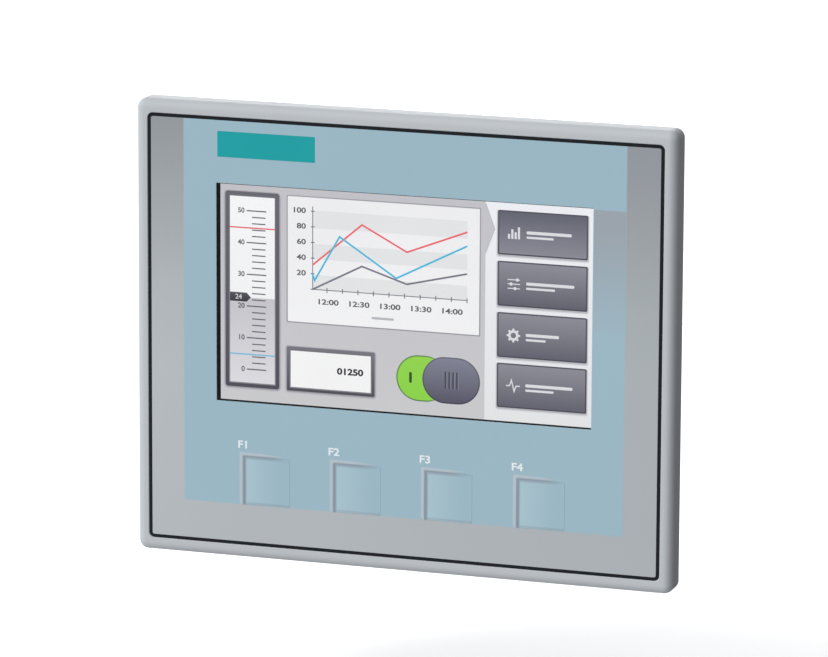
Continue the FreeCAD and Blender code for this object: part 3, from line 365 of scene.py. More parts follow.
@dataclass(frozen=True)
class SoftRubber(Finish):
    """Black rubber or closed-cell foam."""

    rgb: Rgb
    cells_per_mm: float = 1.5
    cell_mm: float = 0.02

    def build(self) -> bpy.types.Material:
        """Makes the material.

        Returns:
            The material.
        """
        g = Graph(self.name)
        cells = g.noise(self.cells_per_mm, 4.0)
        pale = tuple(min(255.0, c * 1.5 + 4) for c in self.rgb)
        g.colour(g.blend(cells, self.rgb, pale))
        g.roughness(cells, 0.7, 0.9)
        g.set(Specular_IOR_Level=0.25)
        g.bump(cells, self.cell_mm, 0.6)
        return g.material


@dataclass(frozen=True)
class ClearSheet(Finish):
    """Clear film or glass that hardly shows, with a faint gloss."""

    haze: float = 0.03
    rough: float = 0.2
    gloss: float = 0.2

    def build(self) -> bpy.types.Material:
        """Makes the material.

        Returns:
            The material.
        """
        g = Graph(self.name)
        dust = g.noise(0.08, 2.0)
        g.colour(g.blend(dust, (228, 233, 236), (240, 243, 245)))
        g.roughness(dust, self.rough, self.rough + 0.1)
        g.set(Alpha=self.haze, IOR=1.49, Specular_IOR_Level=self.gloss)
        g.material.surface_render_method = "BLENDED"
        return g.material


@dataclass(frozen=True)
class CircuitBoardFinish(Finish):
    """Green solder mask over copper tracks."""

    def build(self) -> bpy.types.Material:
        """Makes the material.

        Returns:
            The material.
        """
        g = Graph(self.name)
        weave = g.noise(1.2, 3.0)
        tracks = g.tree.nodes.new("ShaderNodeTexBrick")
        tracks.inputs["Scale"].default_value = 220.0
        tracks.inputs["Mortar Size"].default_value = 0.03
        tracks.inputs["Color1"].default_value = linear((16, 84, 48))
        tracks.inputs["Color2"].default_value = linear((20, 92, 54))
        tracks.inputs["Mortar"].default_value = linear((44, 128, 78))
        turn = g.tree.nodes.new("ShaderNodeMapping")
        turn.inputs["Rotation"].default_value = (math.radians(90), 0, 0)
        g.link(g.place, turn.inputs["Vector"])
        g.link(turn.outputs[0], tracks.inputs["Vector"])
        g.colour(g.blend(g.between(weave, 0.35, 0.7), tracks.outputs["Color"], (14, 76, 44)))
        g.roughness(weave, 0.25, 0.4)
        g.bump(tracks.outputs["Fac"], 0.03, 0.5)
        return g.material


@dataclass(frozen=True)
class RibbonFilm(Finish):
    """Amber film cable with parallel copper tracks."""

    def build(self) -> bpy.types.Material:
        """Makes the material.

        Returns:
            The material.
        """
        g = Graph(self.name)
        wave = g.tree.nodes.new("ShaderNodeTexWave")
        wave.bands_direction = "X"
        wave.inputs["Scale"].default_value = 320.0
        g.link(g.place, wave.inputs["Vector"])
        g.colour(g.blend(wave.outputs["Fac"], (176, 96, 30), (212, 140, 62)))
        g.roughness(wave.outputs["Fac"], 0.22, 0.36)
        g.bump(wave.outputs["Fac"], 0.02, 0.4)
        return g.material


@dataclass(frozen=True)
class PortLight(Finish):
    """Indicator light windows, green on the left and amber on the right."""

    split_mm: float

    def build(self) -> bpy.types.Material:
        """Makes the material.

        Returns:
            The material.
        """
        g = Graph(self.name)
        cloud = g.noise(0.6, 2.0)
        tint = g.blend(g.between(g.axis("X"), self.split_mm - 0.5, self.split_mm + 0.5), (96, 168, 74),
                       (206, 150, 52))
        g.colour(g.blend(g.math("MULTIPLY", cloud, 0.3), tint, (240, 240, 220)))
        g.roughness(cloud, 0.15, 0.3)
        return g.material


@dataclass(frozen=True)
class ScreenInk(Finish):
    """One colour of the display's picture, lit from behind, that may run from bottom to top."""

    low_rgb: Rgb
    high_rgb: Rgb
    low_z: float = 0.0
    high_z: float = 1.0

    def build(self) -> bpy.types.Material:
        """Makes the material.

        Returns:
            The material.
        """
        g = Graph(self.name)
        run = g.between(g.axis("Z"), self.low_z, self.high_z)
        tint = g.blend(run, self.low_rgb, self.high_rgb)
        unevenness = g.math("MULTIPLY", g.noise(0.05, 1.0), 0.06)
        g.link(g.blend(unevenness, tint, (118, 118, 124)), g.shader.inputs["Emission Color"])
        g.set(Base_Color=(0.0, 0.0, 0.0, 1.0), Emission_Strength=1.0, Roughness=0.4, Specular_IOR_Level=0.0)
        return g.material


@dataclass(frozen=True)
class KeyRow:
    """Where the row of function keys lies."""

    left: float = -41.505
    pitch: float = 24.07
    width: float = 12.0
    top: float = -31.7
    bottom: float = -44.0

    def along(self, g: Graph) -> bpy.types.NodeSocket:
        """Distance to the right of the nearest key's left edge, from -4 upwards."""
        shifted = g.math("FLOORED_MODULO", g.math("SUBTRACT", g.axis("X"), self.left - 4.0), self.pitch)
        return g.math("SUBTRACT", shifted, 4.0)

    def above(self, g: Graph) -> bpy.types.NodeSocket:
        """Height above the keys' top edge."""
        return g.math("SUBTRACT", g.axis("Z"), self.top)


KEYS = KeyRow()


@dataclass(frozen=True)
class SheetPrint(Finish):
    """Print of the cover sheet: grey sides, a pale blue field, and grey that fades in beside the window. On a key
    it also paints a sheen and shade lines.
    """

    field_left: float = -57.7
    field_right: float = 57.8
    field_bottom: float = -44.05
    patch_left: float = 49.5
    patch_top: float = 37.5
    patch_end: float = 4.0
    half_width: float = 66.0
    half_height: float = 58.0
    on_key: bool = False
    blue: Rgb = (157, 187, 201)
    patch: Rgb = (157, 166, 174)
    # On keys: a painted sheen on the left part, and a colour for painted shade along the key's edges.
    key_sheen: Rgb = (170, 199, 209)
    key_line: Rgb = (138, 153, 165)

    def greys(self, g: Graph) -> bpy.types.NodeSocket:
        """The grey of the sides, darker towards the top.

        Args:
            g: The material's graph.

        Returns:
            The colour.
        """
        height = g.between(g.axis("Z"), -self.half_height, self.half_height)
        left = g.ramp(height, ((0.0, (182, 187, 191)), (0.42, (186, 191, 194)), (0.6, (180, 185, 188)),
                               (0.74, (167, 172, 176)), (0.97, (147, 152, 156))))
        right = g.ramp(height, ((0.0, (173, 179, 183)), (0.45, (173, 178, 182)), (0.6, (167, 175, 178)),
                                (0.74, (159, 164, 168)), (0.97, (146, 150, 158))))
        return g.blend(g.between(g.axis("X"), -self.half_width, self.half_width), left, right)

    def build(self) -> bpy.types.Material:
        """Makes the material.

        Returns:
            The material.
        """
        g = Graph(self.name)
        x = g.axis("X")
        z = g.axis("Z")
        in_field = g.math("MULTIPLY", g.inside(x, self.field_left, self.field_right, 0.3),
                          g.between(z, self.field_bottom - 0.14, self.field_bottom + 0.14))
        tint = g.blend(in_field, self.greys(g), self.blue)
        patch = g.math("MULTIPLY", g.inside(x, self.patch_left, self.field_right, 0.3),
                       g.between(z, self.patch_end, self.patch_top - 4.0))
        patch = g.math("MULTIPLY", patch, g.between(z, self.patch_top + 0.15, self.patch_top - 0.15))
        tint = g.blend(patch, tint, self.patch)
        # On a key, a painted sheen and painted shade lines are laid over the print.
        if self.on_key:
            tint = self.key_marks(g, tint)
        fleck = g.noise(1.4, 3.0)
        tint = g.blend(g.math("MULTIPLY", g.noise(0.03, 2.0), 0.04), tint, (255, 255, 255))
        g.colour(tint)
        g.roughness(fleck, 0.42, 0.52)
        g.set(Specular_IOR_Level=0.3)
        g.bump(fleck, 0.006, 0.4)
        return g.material

    def key_marks(self, g: Graph, tint: bpy.types.NodeSocket) -> bpy.types.NodeSocket:
        """Adds a painted sheen on a key's left part and painted shade lines at its left, top and bottom edges.

        Args:
            g: The material's graph.
            tint: The colour so far.

        Returns:
            The colour with the painted sheen and shade.
        """
        along = KEYS.along(g)
        above = KEYS.above(g)
        tint = g.blend(g.between(along, 9.5, 0.8), tint, self.key_sheen)
        # Painted shade along the key's left, top and bottom edges, where the embossed step would be in shade.
        side = g.between(along, 0.55, 0.25)
        top = g.math("MULTIPLY", g.between(above, -0.75, -0.35),
                     g.between(along, KEYS.width - 0.3, KEYS.width * 0.6))
        foot = g.math("MULTIPLY", g.inside(above, KEYS.bottom - KEYS.top + 0.08, KEYS.bottom - KEYS.top + 0.62,
                                           0.35), 0.55)
        lines = g.math("MAXIMUM", g.math("MAXIMUM", side, g.math("MULTIPLY", top, 0.8)), foot)
        return g.blend(g.math("MULTIPLY", lines, 0.8), tint, self.key_line)


@dataclass(frozen=True)
class RidgePrint(Finish):
    """Painted light and shade on the raised line round a key's corner: a painted highlight outside, painted shade
    towards the key.
    """

    # A painted highlight for the lit outer slope, painted shade for the slope towards the key, and the sheet's blue
    # print where it fades out.
    pale: Rgb = (181, 193, 203)
    dark: Rgb = (138, 153, 165)
    ground: Rgb = (157, 187, 201)

    def build(self) -> bpy.types.Material:
        """Makes the material.

        Returns:
            The material.
        """
        g = Graph(self.name)
        along = KEYS.along(g)
        above = KEYS.above(g)
        # Painted shade on the slope towards the key, along the side and the top.
        side = g.math("MULTIPLY", g.between(along, -0.66, -0.42), g.between(above, 0.5, 0.2))
        top = g.math("MULTIPLY", g.between(above, 0.34, 0.12), g.between(along, -0.6, -0.35))
        fade = g.between(along, KEYS.width * 0.95, KEYS.width * 0.5)
        tint = g.blend(g.math("MULTIPLY", g.math("MAXIMUM", side, top), 0.85), self.pale, self.dark)
        fleck = g.noise(1.4, 3.0)
        tint = g.blend(fade, self.ground, tint)
        g.colour(tint)
        g.roughness(fleck, 0.4, 0.5)
        g.set(Specular_IOR_Level=0.3)
        g.bump(fleck, 0.005, 0.4)
        return g.material


FRAME_PLASTIC = MouldedPlastic("frame_satin", (192, 196, 200), 0.5, 1.8, 0.006, 0.01, 0.12)
SEAM_RUBBER = SoftRubber("seam_rubber", (16, 18, 22))
GASKET_RUBBER = SoftRubber("gasket_rubber", (26, 27, 29), 0.9, 0.03)
FOAM = SoftRubber("foam", (30, 30, 32), 0.7, 0.06)
ADHESIVE = SoftRubber("adhesive", (196, 194, 184), 0.5, 0.01)
SHEET_PRINT = SheetPrint("sheet_print")
# Keys: the sheet print with a painted sheen and painted shade lines.
KEY_PRINT_SHEEN_AND_SHADE = SheetPrint("key_print", on_key=True)
# Ridges: a painted highlight and painted shade over the blue print.
RIDGE_PRINT_AND_SHADE = RidgePrint("ridge_print_and_shade")
TEAL_PLATE = MouldedPlastic("teal_plate", (14, 163, 167), 0.45, 1.2, 0.004, 0.02, 0.2)
LEGEND_WHITE = MouldedPlastic("legend_white", (236, 244, 247), 0.5, 1.2, 0.003, 0.01, 0.2)
WINDOW_FILM = ClearSheet("window_film_clear", 0.006, 0.25, 0.16)
TOUCH_CLEAR = ClearSheet("touch_clear", 0.002, 0.12, 0.08)
BLACK_STEEL = MouldedPlastic("black_steel", (58, 62, 68), 0.45, 2.0, 0.004, 0.05, 0.3)
CELL = MouldedPlastic("cell_black", (16, 17, 20), 0.2, 1.0, 0.001, 0.05, 0.5)
GUIDE_ACRYLIC = MouldedPlastic("guide_acrylic", (222, 230, 236), 0.12, 0.6, 0.002, 0.02, 0.5)
LAMP_STRIP = MouldedPlastic("lamp_strip_finish", (232, 224, 170), 0.3, 0.8, 0.01, 0.08, 0.4)
TRAY_METAL = SheetMetal("tray_metal", (176, 178, 180), 0.4, (0.05, 1.0, 1.0))
PLATE_METAL = SheetMetal("plate_metal", (178, 182, 186), 0.38, (1.0, 1.0, 0.05))
SCREW_METAL = SheetMetal("screw_metal", (186, 188, 190), 0.3, (1.0, 0.15, 1.0))
CLAMP_METAL = SheetMetal("clamp_metal", (170, 172, 174), 0.34, (1.0, 0.15, 1.0))
BRASS = SheetMetal("brass", (206, 168, 92), 0.3, (1.0, 0.2, 1.0))
GOLD = SheetMetal("gold", (226, 184, 92), 0.22, (1.0, 1.0, 0.1))
SHELL_METAL = SheetMetal("shell_metal", (190, 192, 194), 0.22, (0.3, 0.3, 1.0))
TIN = SheetMetal("tin", (196, 198, 198), 0.25, (1.0, 1.0, 0.1))
CAN_METAL = SheetMetal("can_metal", (190, 192, 196), 0.25, (1.0, 0.1, 1.0))
BOARD = CircuitBoardFinish("board_mask")
RIBBON = RibbonFilm("ribbon_tracks")
CHIP = MouldedPlastic("chip_mould", (34, 35, 38), 0.55, 2.5, 0.006, 0.08, 0.3)
COIL = MouldedPlastic("coil_ferrite", (70, 70, 74), 0.6, 2.0, 0.02, 0.1, 0.3)
SLEEVE = MouldedPlastic("capacitor_sleeve", (32, 40, 78), 0.3, 0.8, 0.003, 0.06, 0.5)
CREAM = MouldedPlastic("cream_moulding", (222, 214, 190), 0.45, 1.5, 0.008, 0.04, 0.35)
BLACK_PLASTIC = MouldedPlastic("black_moulding", (28, 28, 30), 0.5, 2.2, 0.012, 0.1, 0.35)
PLUG_GREEN = MouldedPlastic("plug_green", (62, 132, 76), 0.42, 1.8, 0.01, 0.06, 0.4)
COVER_GREY = MouldedPlastic("cover_grey", (92, 95, 99), 0.58, 1.6, 0.03, 0.06, 0.35)
CLIP_BLACK = MouldedPlastic("clip_black", (36, 37, 39), 0.52, 1.4, 0.025, 0.12, 0.35)
LABEL_FOIL = MouldedPlastic("label_foil", (206, 208, 209), 0.35, 0.9, 0.003, 0.03, 0.4)
LABEL_LINES = MouldedPlastic("label_lines", (120, 123, 127), 0.5, 0.9, 0.002, 0.03, 0.3)


# ------------------------------------------------------------------ mesh helpers
def rounded(x0: float, x1: float, z0: float, z1: float, r: float = 0.0, steps: int = 6) -> List[Point]:
    """Outline of a rectangle with rounded corners, anticlockwise as the operator sees it.

    Args:
        x0: Left edge.
        x1: Right edge.
        z0: Bottom edge.
        z1: Top edge.
        r: Corner radius.
        steps: Segments in each corner.

    Returns:
        The outline's points.
    """
    if r <= 0:
        return [(x0, z0), (x1, z0), (x1, z1), (x0, z1)]
    points = []
    for cx, cz, start in ((x1 - r, z0 + r, -90), (x1 - r, z1 - r, 0), (x0 + r, z1 - r, 90), (x0 + r, z0 + r, 180)):
        for i in range(steps + 1):
            a = math.radians(start + 90 * i / steps)
            points.append((cx + r * math.cos(a), cz + r * math.sin(a)))
    return points


def stroke(points: Sequence[Point], width: float) -> List[Point]:
    """Outline of a line of the given width through the points, with mitred bends.

    Args:
        points: The line's points.
        width: The line's width.

    Returns:
        The outline's points.
    """
    sides: Tuple[List[Point], List[Point]] = ([], [])
    for i, (x, z) in enumerate(points):
        before = points[max(i - 1, 0)]
        after = points[min(i + 1, len(points) - 1)]
        into = Vector((x - before[0], z - before[1])) if i else Vector((after[0] - x, after[1] - z))
        out = Vector((after[0] - x, after[1] - z)) if i < len(points) - 1 else into
        into.normalize()
        out.normalize()
        normal = Vector((-into.y - out.y, into.x + out.x)).normalized()
        reach = width / 2 / max(0.3, normal.dot(Vector((-into.y, into.x))))
        sides[0].append((x - normal.x * reach, z - normal.y * reach))
        sides[1].append((x + normal.x * reach, z + normal.y * reach))
    return sides[0] + sides[1][::-1]


def put(name: str, mesh: bpy.types.Mesh, finish: Finish, body: str) -> bpy.types.Object:
    """Places a finished mesh in the scene and says which body carries it.

    Args:
        name: The piece's name.
        mesh: Its mesh, in the row frame.
        finish: Its finish.
        body: The body that it rides on.

    Returns:
        The new object.
    """
    piece = bpy.data.objects.new(name, mesh)
    bpy.context.scene.collection.objects.link(piece)
    mesh.materials.clear()
    mesh.materials.append(finish.material())
    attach(piece, body)
    log.info("made %s with %d faces on %s", name, len(mesh.polygons), body)
    return piece


class Sketch:
    """Flat shapes on planes that face the operator, gathered into one mesh."""

    def __init__(self) -> None:
        """Starts empty."""
        self.bm = bmesh.new()

    def shape(self, points: Iterable[Point], y: float) -> "Sketch":
        """Adds a filled outline at depth y.

        Args:
            points: The outline.
            y: Its depth.

        Returns:
            The sketch itself.
        """
        verts = [self.bm.verts.new((x * MM, y * MM, z * MM)) for x, z in points]
        face = self.bm.faces.new(verts)
        face.normal_update()
        if face.normal.y > 0:
            face.normal_flip()
        return self

    def band(self, outer: Sequence[Point], inner: Sequence[Point], y: float) -> "Sketch":
        """Adds the strip between two outlines of as many points.

        Args:
            outer: The outer outline.
            inner: The inner outline.
            y: Its depth.

        Returns:
            The sketch itself.
        """
        rings = [[self.bm.verts.new((x * MM, y * MM, z * MM)) for x, z in line] for line in (outer, inner)]
        count = len(outer)
        for i in range(count):
            j = (i + 1) % count
            self.bm.faces.new((rings[0][i], rings[0][j], rings[1][j], rings[1][i]))
        return self

    def mesh(self, name: str) -> bpy.types.Mesh:
        """The finished mesh.

        Args:
            name: The mesh's name.

        Returns:
            The mesh.
        """
        made = bpy.data.meshes.new(name)
        bmesh.ops.triangulate(self.bm, faces=[f for f in self.bm.faces if len(f.verts) > 4])
        self.bm.to_mesh(made)
        self.bm.free()
        return made


def plate(name: str, outlines: Sequence[Sequence[Point]], y0: float, y1: float, edge: float) -> bpy.types.Mesh:
    """Plate with holes and softly rounded edges.

    Args:
        name: The mesh's name.
        outlines: The outer outline, then one for each hole.
        y0: Front of the plate.
        y1: Back of the plate.
        edge: Radius along its edges.

    Returns:
        The plate's mesh, in metres and in the row frame.
    """
    curve = bpy.data.curves.new(name, "CURVE")
    curve.dimensions = "2D"
    curve.fill_mode = "BOTH"
    curve.extrude = ((y1 - y0) / 2 - edge) * MM
    curve.bevel_depth = edge * MM
    curve.bevel_resolution = 2
    curve.offset = -edge * MM
    for outline in outlines:
        spline = curve.splines.new("POLY")
        spline.points.add(len(outline) - 1)
        for point, (x, z) in zip(spline.points, outline):
            point.co = (x * MM, z * MM, 0.0, 1.0)
        spline.use_cyclic_u = True
    return standing(curve, (y0 + y1) / 2)


def standing(curve: bpy.types.Curve, y: float) -> bpy.types.Mesh:
    """Turns a curve or text that was drawn flat into a mesh that faces the operator at depth y.

    Args:
        curve: The flat curve.
        y: Depth of its middle.

    Returns:
        The mesh.
    """
    holder = bpy.data.objects.new(curve.name + "_draft", curve)
    bpy.context.scene.collection.objects.link(holder)
    bpy.context.view_layer.update()
    ready = holder.evaluated_get(bpy.context.evaluated_depsgraph_get())
    mesh = bpy.data.meshes.new_from_object(ready)
    mesh.transform(Matrix.Translation((0, y * MM, 0)) @ Matrix.Rotation(math.radians(90), 4, "X"))
    bpy.data.objects.remove(holder)
    bpy.data.curves.remove(curve)
    return mesh


@dataclass(frozen=True)
class Label:
    """A numeral or mark set in the plain built-in type."""

    text: str
    x: float
    z: float
    height: float
    side: str = "CENTER"
    weight: float = 0.0
    spread: float = 1.0


def lettering(name: str, labels: Sequence[Label], y: float, thick: float = 0.0,
              facing_back: bool = False) -> bpy.types.Mesh:
    """Sets several labels as one mesh.

    Args:
        name: The mesh's name.
        labels: What to set, and where its middle line lies.
        y: Depth of the print.
        thick: Half the print's thickness.
        facing_back: Whether it is read from behind the panel.

    Returns:
        The mesh.
    """
    whole = bmesh.new()
    for label in labels:
        text = bpy.data.curves.new(name, "FONT")
        text.body = label.text
        text.size = label.height * 1.38 * MM
        text.align_x = label.side
        text.align_y = "CENTER"
        text.offset = label.weight * MM
        text.extrude = thick * MM
        mesh = standing(text, 0.0)
        mesh.transform(Matrix.Diagonal((label.spread, 1.0, 1.0, 1.0)))
        if facing_back:
            mesh.transform(Matrix.Rotation(math.radians(180), 4, "Z"))
        mesh.transform(Matrix.Translation((label.x * MM, y * MM, label.z * MM)))
        whole.from_mesh(mesh)
        bpy.data.meshes.remove(mesh)
    made = bpy.data.meshes.new(name)
    whole.to_mesh(made)
    whole.free()
    return made


def edges(node: str) -> Tuple[Vector, Vector]:
    """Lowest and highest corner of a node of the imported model, in millimetres."""
    low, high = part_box(node)
    return Vector(low) / MM, Vector(high) / MM


# ------------------------------------------------------------------ sub-assemblies
@dataclass
class Assembly:
    """A sub-assembly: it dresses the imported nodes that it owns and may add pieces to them."""

    def finishes(self) -> Dict[str, Finish]:
        """Which finish each of its nodes takes."""
        return {}

    def dress(self, nodes: Dict[str, bpy.types.Object]) -> None:
        """Gives each of its nodes its finish.

        Args:
            nodes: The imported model's objects by name.
        """
        for name, finish in self.finishes().items():
            data = nodes[name].data
            data.materials.clear()
            data.materials.append(finish.material())
            log.info("dressed %s in %s", name, finish.name)

    def build(self) -> None:
        """Adds its own pieces, if it has any."""


@dataclass
class FrontFrame(Assembly):
    """Moulded frame with its seam bead, rear seal and the bond under the cover sheet."""

    def finishes(self) -> Dict[str, Finish]:
        """Which finish each of its nodes takes."""
        return {"front_frame": FRAME_PLASTIC, "overlay_bond": ADHESIVE, "seam_seal": SEAM_RUBBER,
                "panel_gasket": GASKET_RUBBER}


@dataclass
class CoverSheet(Assembly):
    """Printed sheet over the front, with its window, key openings, ridges and legends."""

    corner: float = 0.5
    edge: float = 0.03
    key_flange: float = 1.0
    key_gap: float = 0.015
    side_width: float = 1.35
    top_width: float = 1.1
    ridge_height: float = 0.09
    ridge_reach: float = 0.98
    plate_left: float = -48.7
    plate_width: float = 25.8
    plate_bottom: float = 44.5
    plate_height: float = 6.5
    legend_height: float = 1.95
    keys: Sequence[str] = ("key_1", "key_2", "key_3", "key_4")

    def caps(self) -> List[Tuple[float, float, float, float]]:
        """Left, right, bottom and top of each key cap.

        Returns:
            One set of four edges for each key.
        """
        found = []
        for node in self.keys:
            low, high = edges(node)
            f = self.key_flange
            found.append((low.x + f, high.x - f, low.z + f, high.z - f))
        return found

    def build(self) -> None:
        """Makes the sheet and what is printed and pressed on it."""
        low, high = edges("front_overlay")
        pane_low, pane_high = edges("window_film")
        outlines = [rounded(low.x, high.x, low.z, high.z, self.corner),
                    rounded(pane_low.x, pane_high.x, pane_low.z, pane_high.z)[::-1]]
        g = self.key_gap
        for x0, x1, z0, z1 in self.caps():
            outlines.append(rounded(x0 - g, x1 + g, z0 - g, z1 + g)[::-1])
        sheet = put("cover_sheet", plate("cover_sheet", outlines, low.y, high.y, self.edge), SHEET_PRINT, HOUSING)
        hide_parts("front_overlay")
        self.plain_plate(low.y)
        self.ridges(low.y)
        self.legends(low.y)

    def plain_plate(self, y: float) -> None:
        """The teal field at the upper left, left bare.

        Args:
            y: Depth of the sheet's face.
        """
        x0, z0 = self.plate_left, self.plate_bottom
        mesh = plate("plain_plate", [rounded(x0, x0 + self.plate_width, z0, z0 + self.plate_height, 0.1)], y - 0.03,
                     y + 0.02, 0.01)
        put("plain_plate", mesh, TEAL_PLATE, HOUSING)

    def ridges(self, y: float) -> None:
        """Raised line along the left side and the top of each key, which dies away to the right.

        Args:
            y: Depth of the sheet's face.
        """
        bm = bmesh.new()
        profile = ((0.0, 0.0), (0.28, 0.8), (0.5, 1.0), (0.68, 0.85), (1.0, 0.0))
        for x0, x1, z0, z1 in self.caps():
            g = self.key_gap
            left, top = x0 - g, z1 + g
            spine = [(left, z0 - 0.1, 0.35, (-1.0, 0.0)), (left, z0 + 0.5, 1.0, (-1.0, 0.0)),
                     (left, top, 1.0, (-1.0, self.top_width / self.side_width))]
            steps = 12
            for i in range(1, steps + 1):
                t = i / steps
                spine.append((left + t * self.ridge_reach * (x1 - x0), top, (1 - t) ** 0.55,
                              (0.0, self.top_width / self.side_width)))
            rows = []
            for px, pz, size, (dx, dz) in spine:
                wide = self.side_width * (0.5 + 0.5 * size)
                rows.append([bm.verts.new(((px + dx * wide * (1 - t)) * MM,
                                           (y - 0.003 - self.ridge_height * size * rise) * MM,
                                           (pz + dz * wide * (1 - t)) * MM)) for t, rise in profile])
            for a, b in zip(rows, rows[1:]):
                for k in range(len(profile) - 1):
                    bm.faces.new((a[k], b[k], b[k + 1], a[k + 1]))
        bm.normal_update()
        if sum(face.normal.y for face in bm.faces) > 0:
            bmesh.ops.reverse_faces(bm, faces=bm.faces)
        for face in bm.faces:
            face.smooth = True
        mesh = bpy.data.meshes.new("key_ridges")
        bm.to_mesh(mesh)
        bm.free()
        # The ridge's finish paints its highlight and shade.
        put("key_ridges", mesh, RIDGE_PRINT_AND_SHADE, HOUSING)

    def legends(self, y: float) -> None:
        """White key numbers above the left corner of each key.

        Args:
            y: Depth of the sheet's face.
        """
        labels = [Label("F%d" % i, x0 - 0.35, z1 + 3.0, self.legend_height, "CENTER", 0.07, spread=1.18)
                  for i, (x0, x1, z0, z1) in enumerate(self.caps(), 1)]
        put("key_legends", lettering("key_legends", labels, y - 0.02, 0.012), LEGEND_WHITE, HOUSING)


@dataclass
class FunctionKeys(Assembly):
    """Four key caps that lie flush in the sheet, with the switches and the board under them."""

    count: int = 4

    def finishes(self) -> Dict[str, Finish]:
        """Which finish each of its nodes takes.

        Returns:
            Each node with its finish.
        """
        # Key caps take the sheet print with its painted sheen and painted shade lines.
        chosen: Dict[str, Finish] = {"key_%d" % i: KEY_PRINT_SHEEN_AND_SHADE for i in range(1, self.count + 1)}
        chosen.update({"key_switches": BLACK_PLASTIC, "key_board": BOARD, "key_board_screws": SCREW_METAL})
        return chosen


@dataclass
class DisplayModule(Assembly):
    """Window, touch sensor and display, from the clear film back to its cushions."""

    def finishes(self) -> Dict[str, Finish]:
        """Which finish each of its nodes takes.

        Returns:
            Each node with its finish.
        """
        return {"window_film": WINDOW_FILM, "touch_film": TOUCH_CLEAR, "touch_glass": TOUCH_CLEAR,
                "display_frame": BLACK_STEEL, "display_panel": CELL, "light_guide": GUIDE_ACRYLIC,
                "led_bar": LAMP_STRIP, "display_tray": TRAY_METAL, "display_cushions": FOAM}


class Icon(Enum):
    """Plain pictures on the display's four buttons."""

    BARS = 1
    SLIDERS = 2
    RING = 3
    PULSE = 4


@dataclass(frozen=True)
class ScreenButton:
    """A button of the display's picture."""

    low: float
    high: float
    icon: Icon
    bar: float
    foot: Rgb = (94, 93, 106)
    top: Rgb = (140, 141, 151)


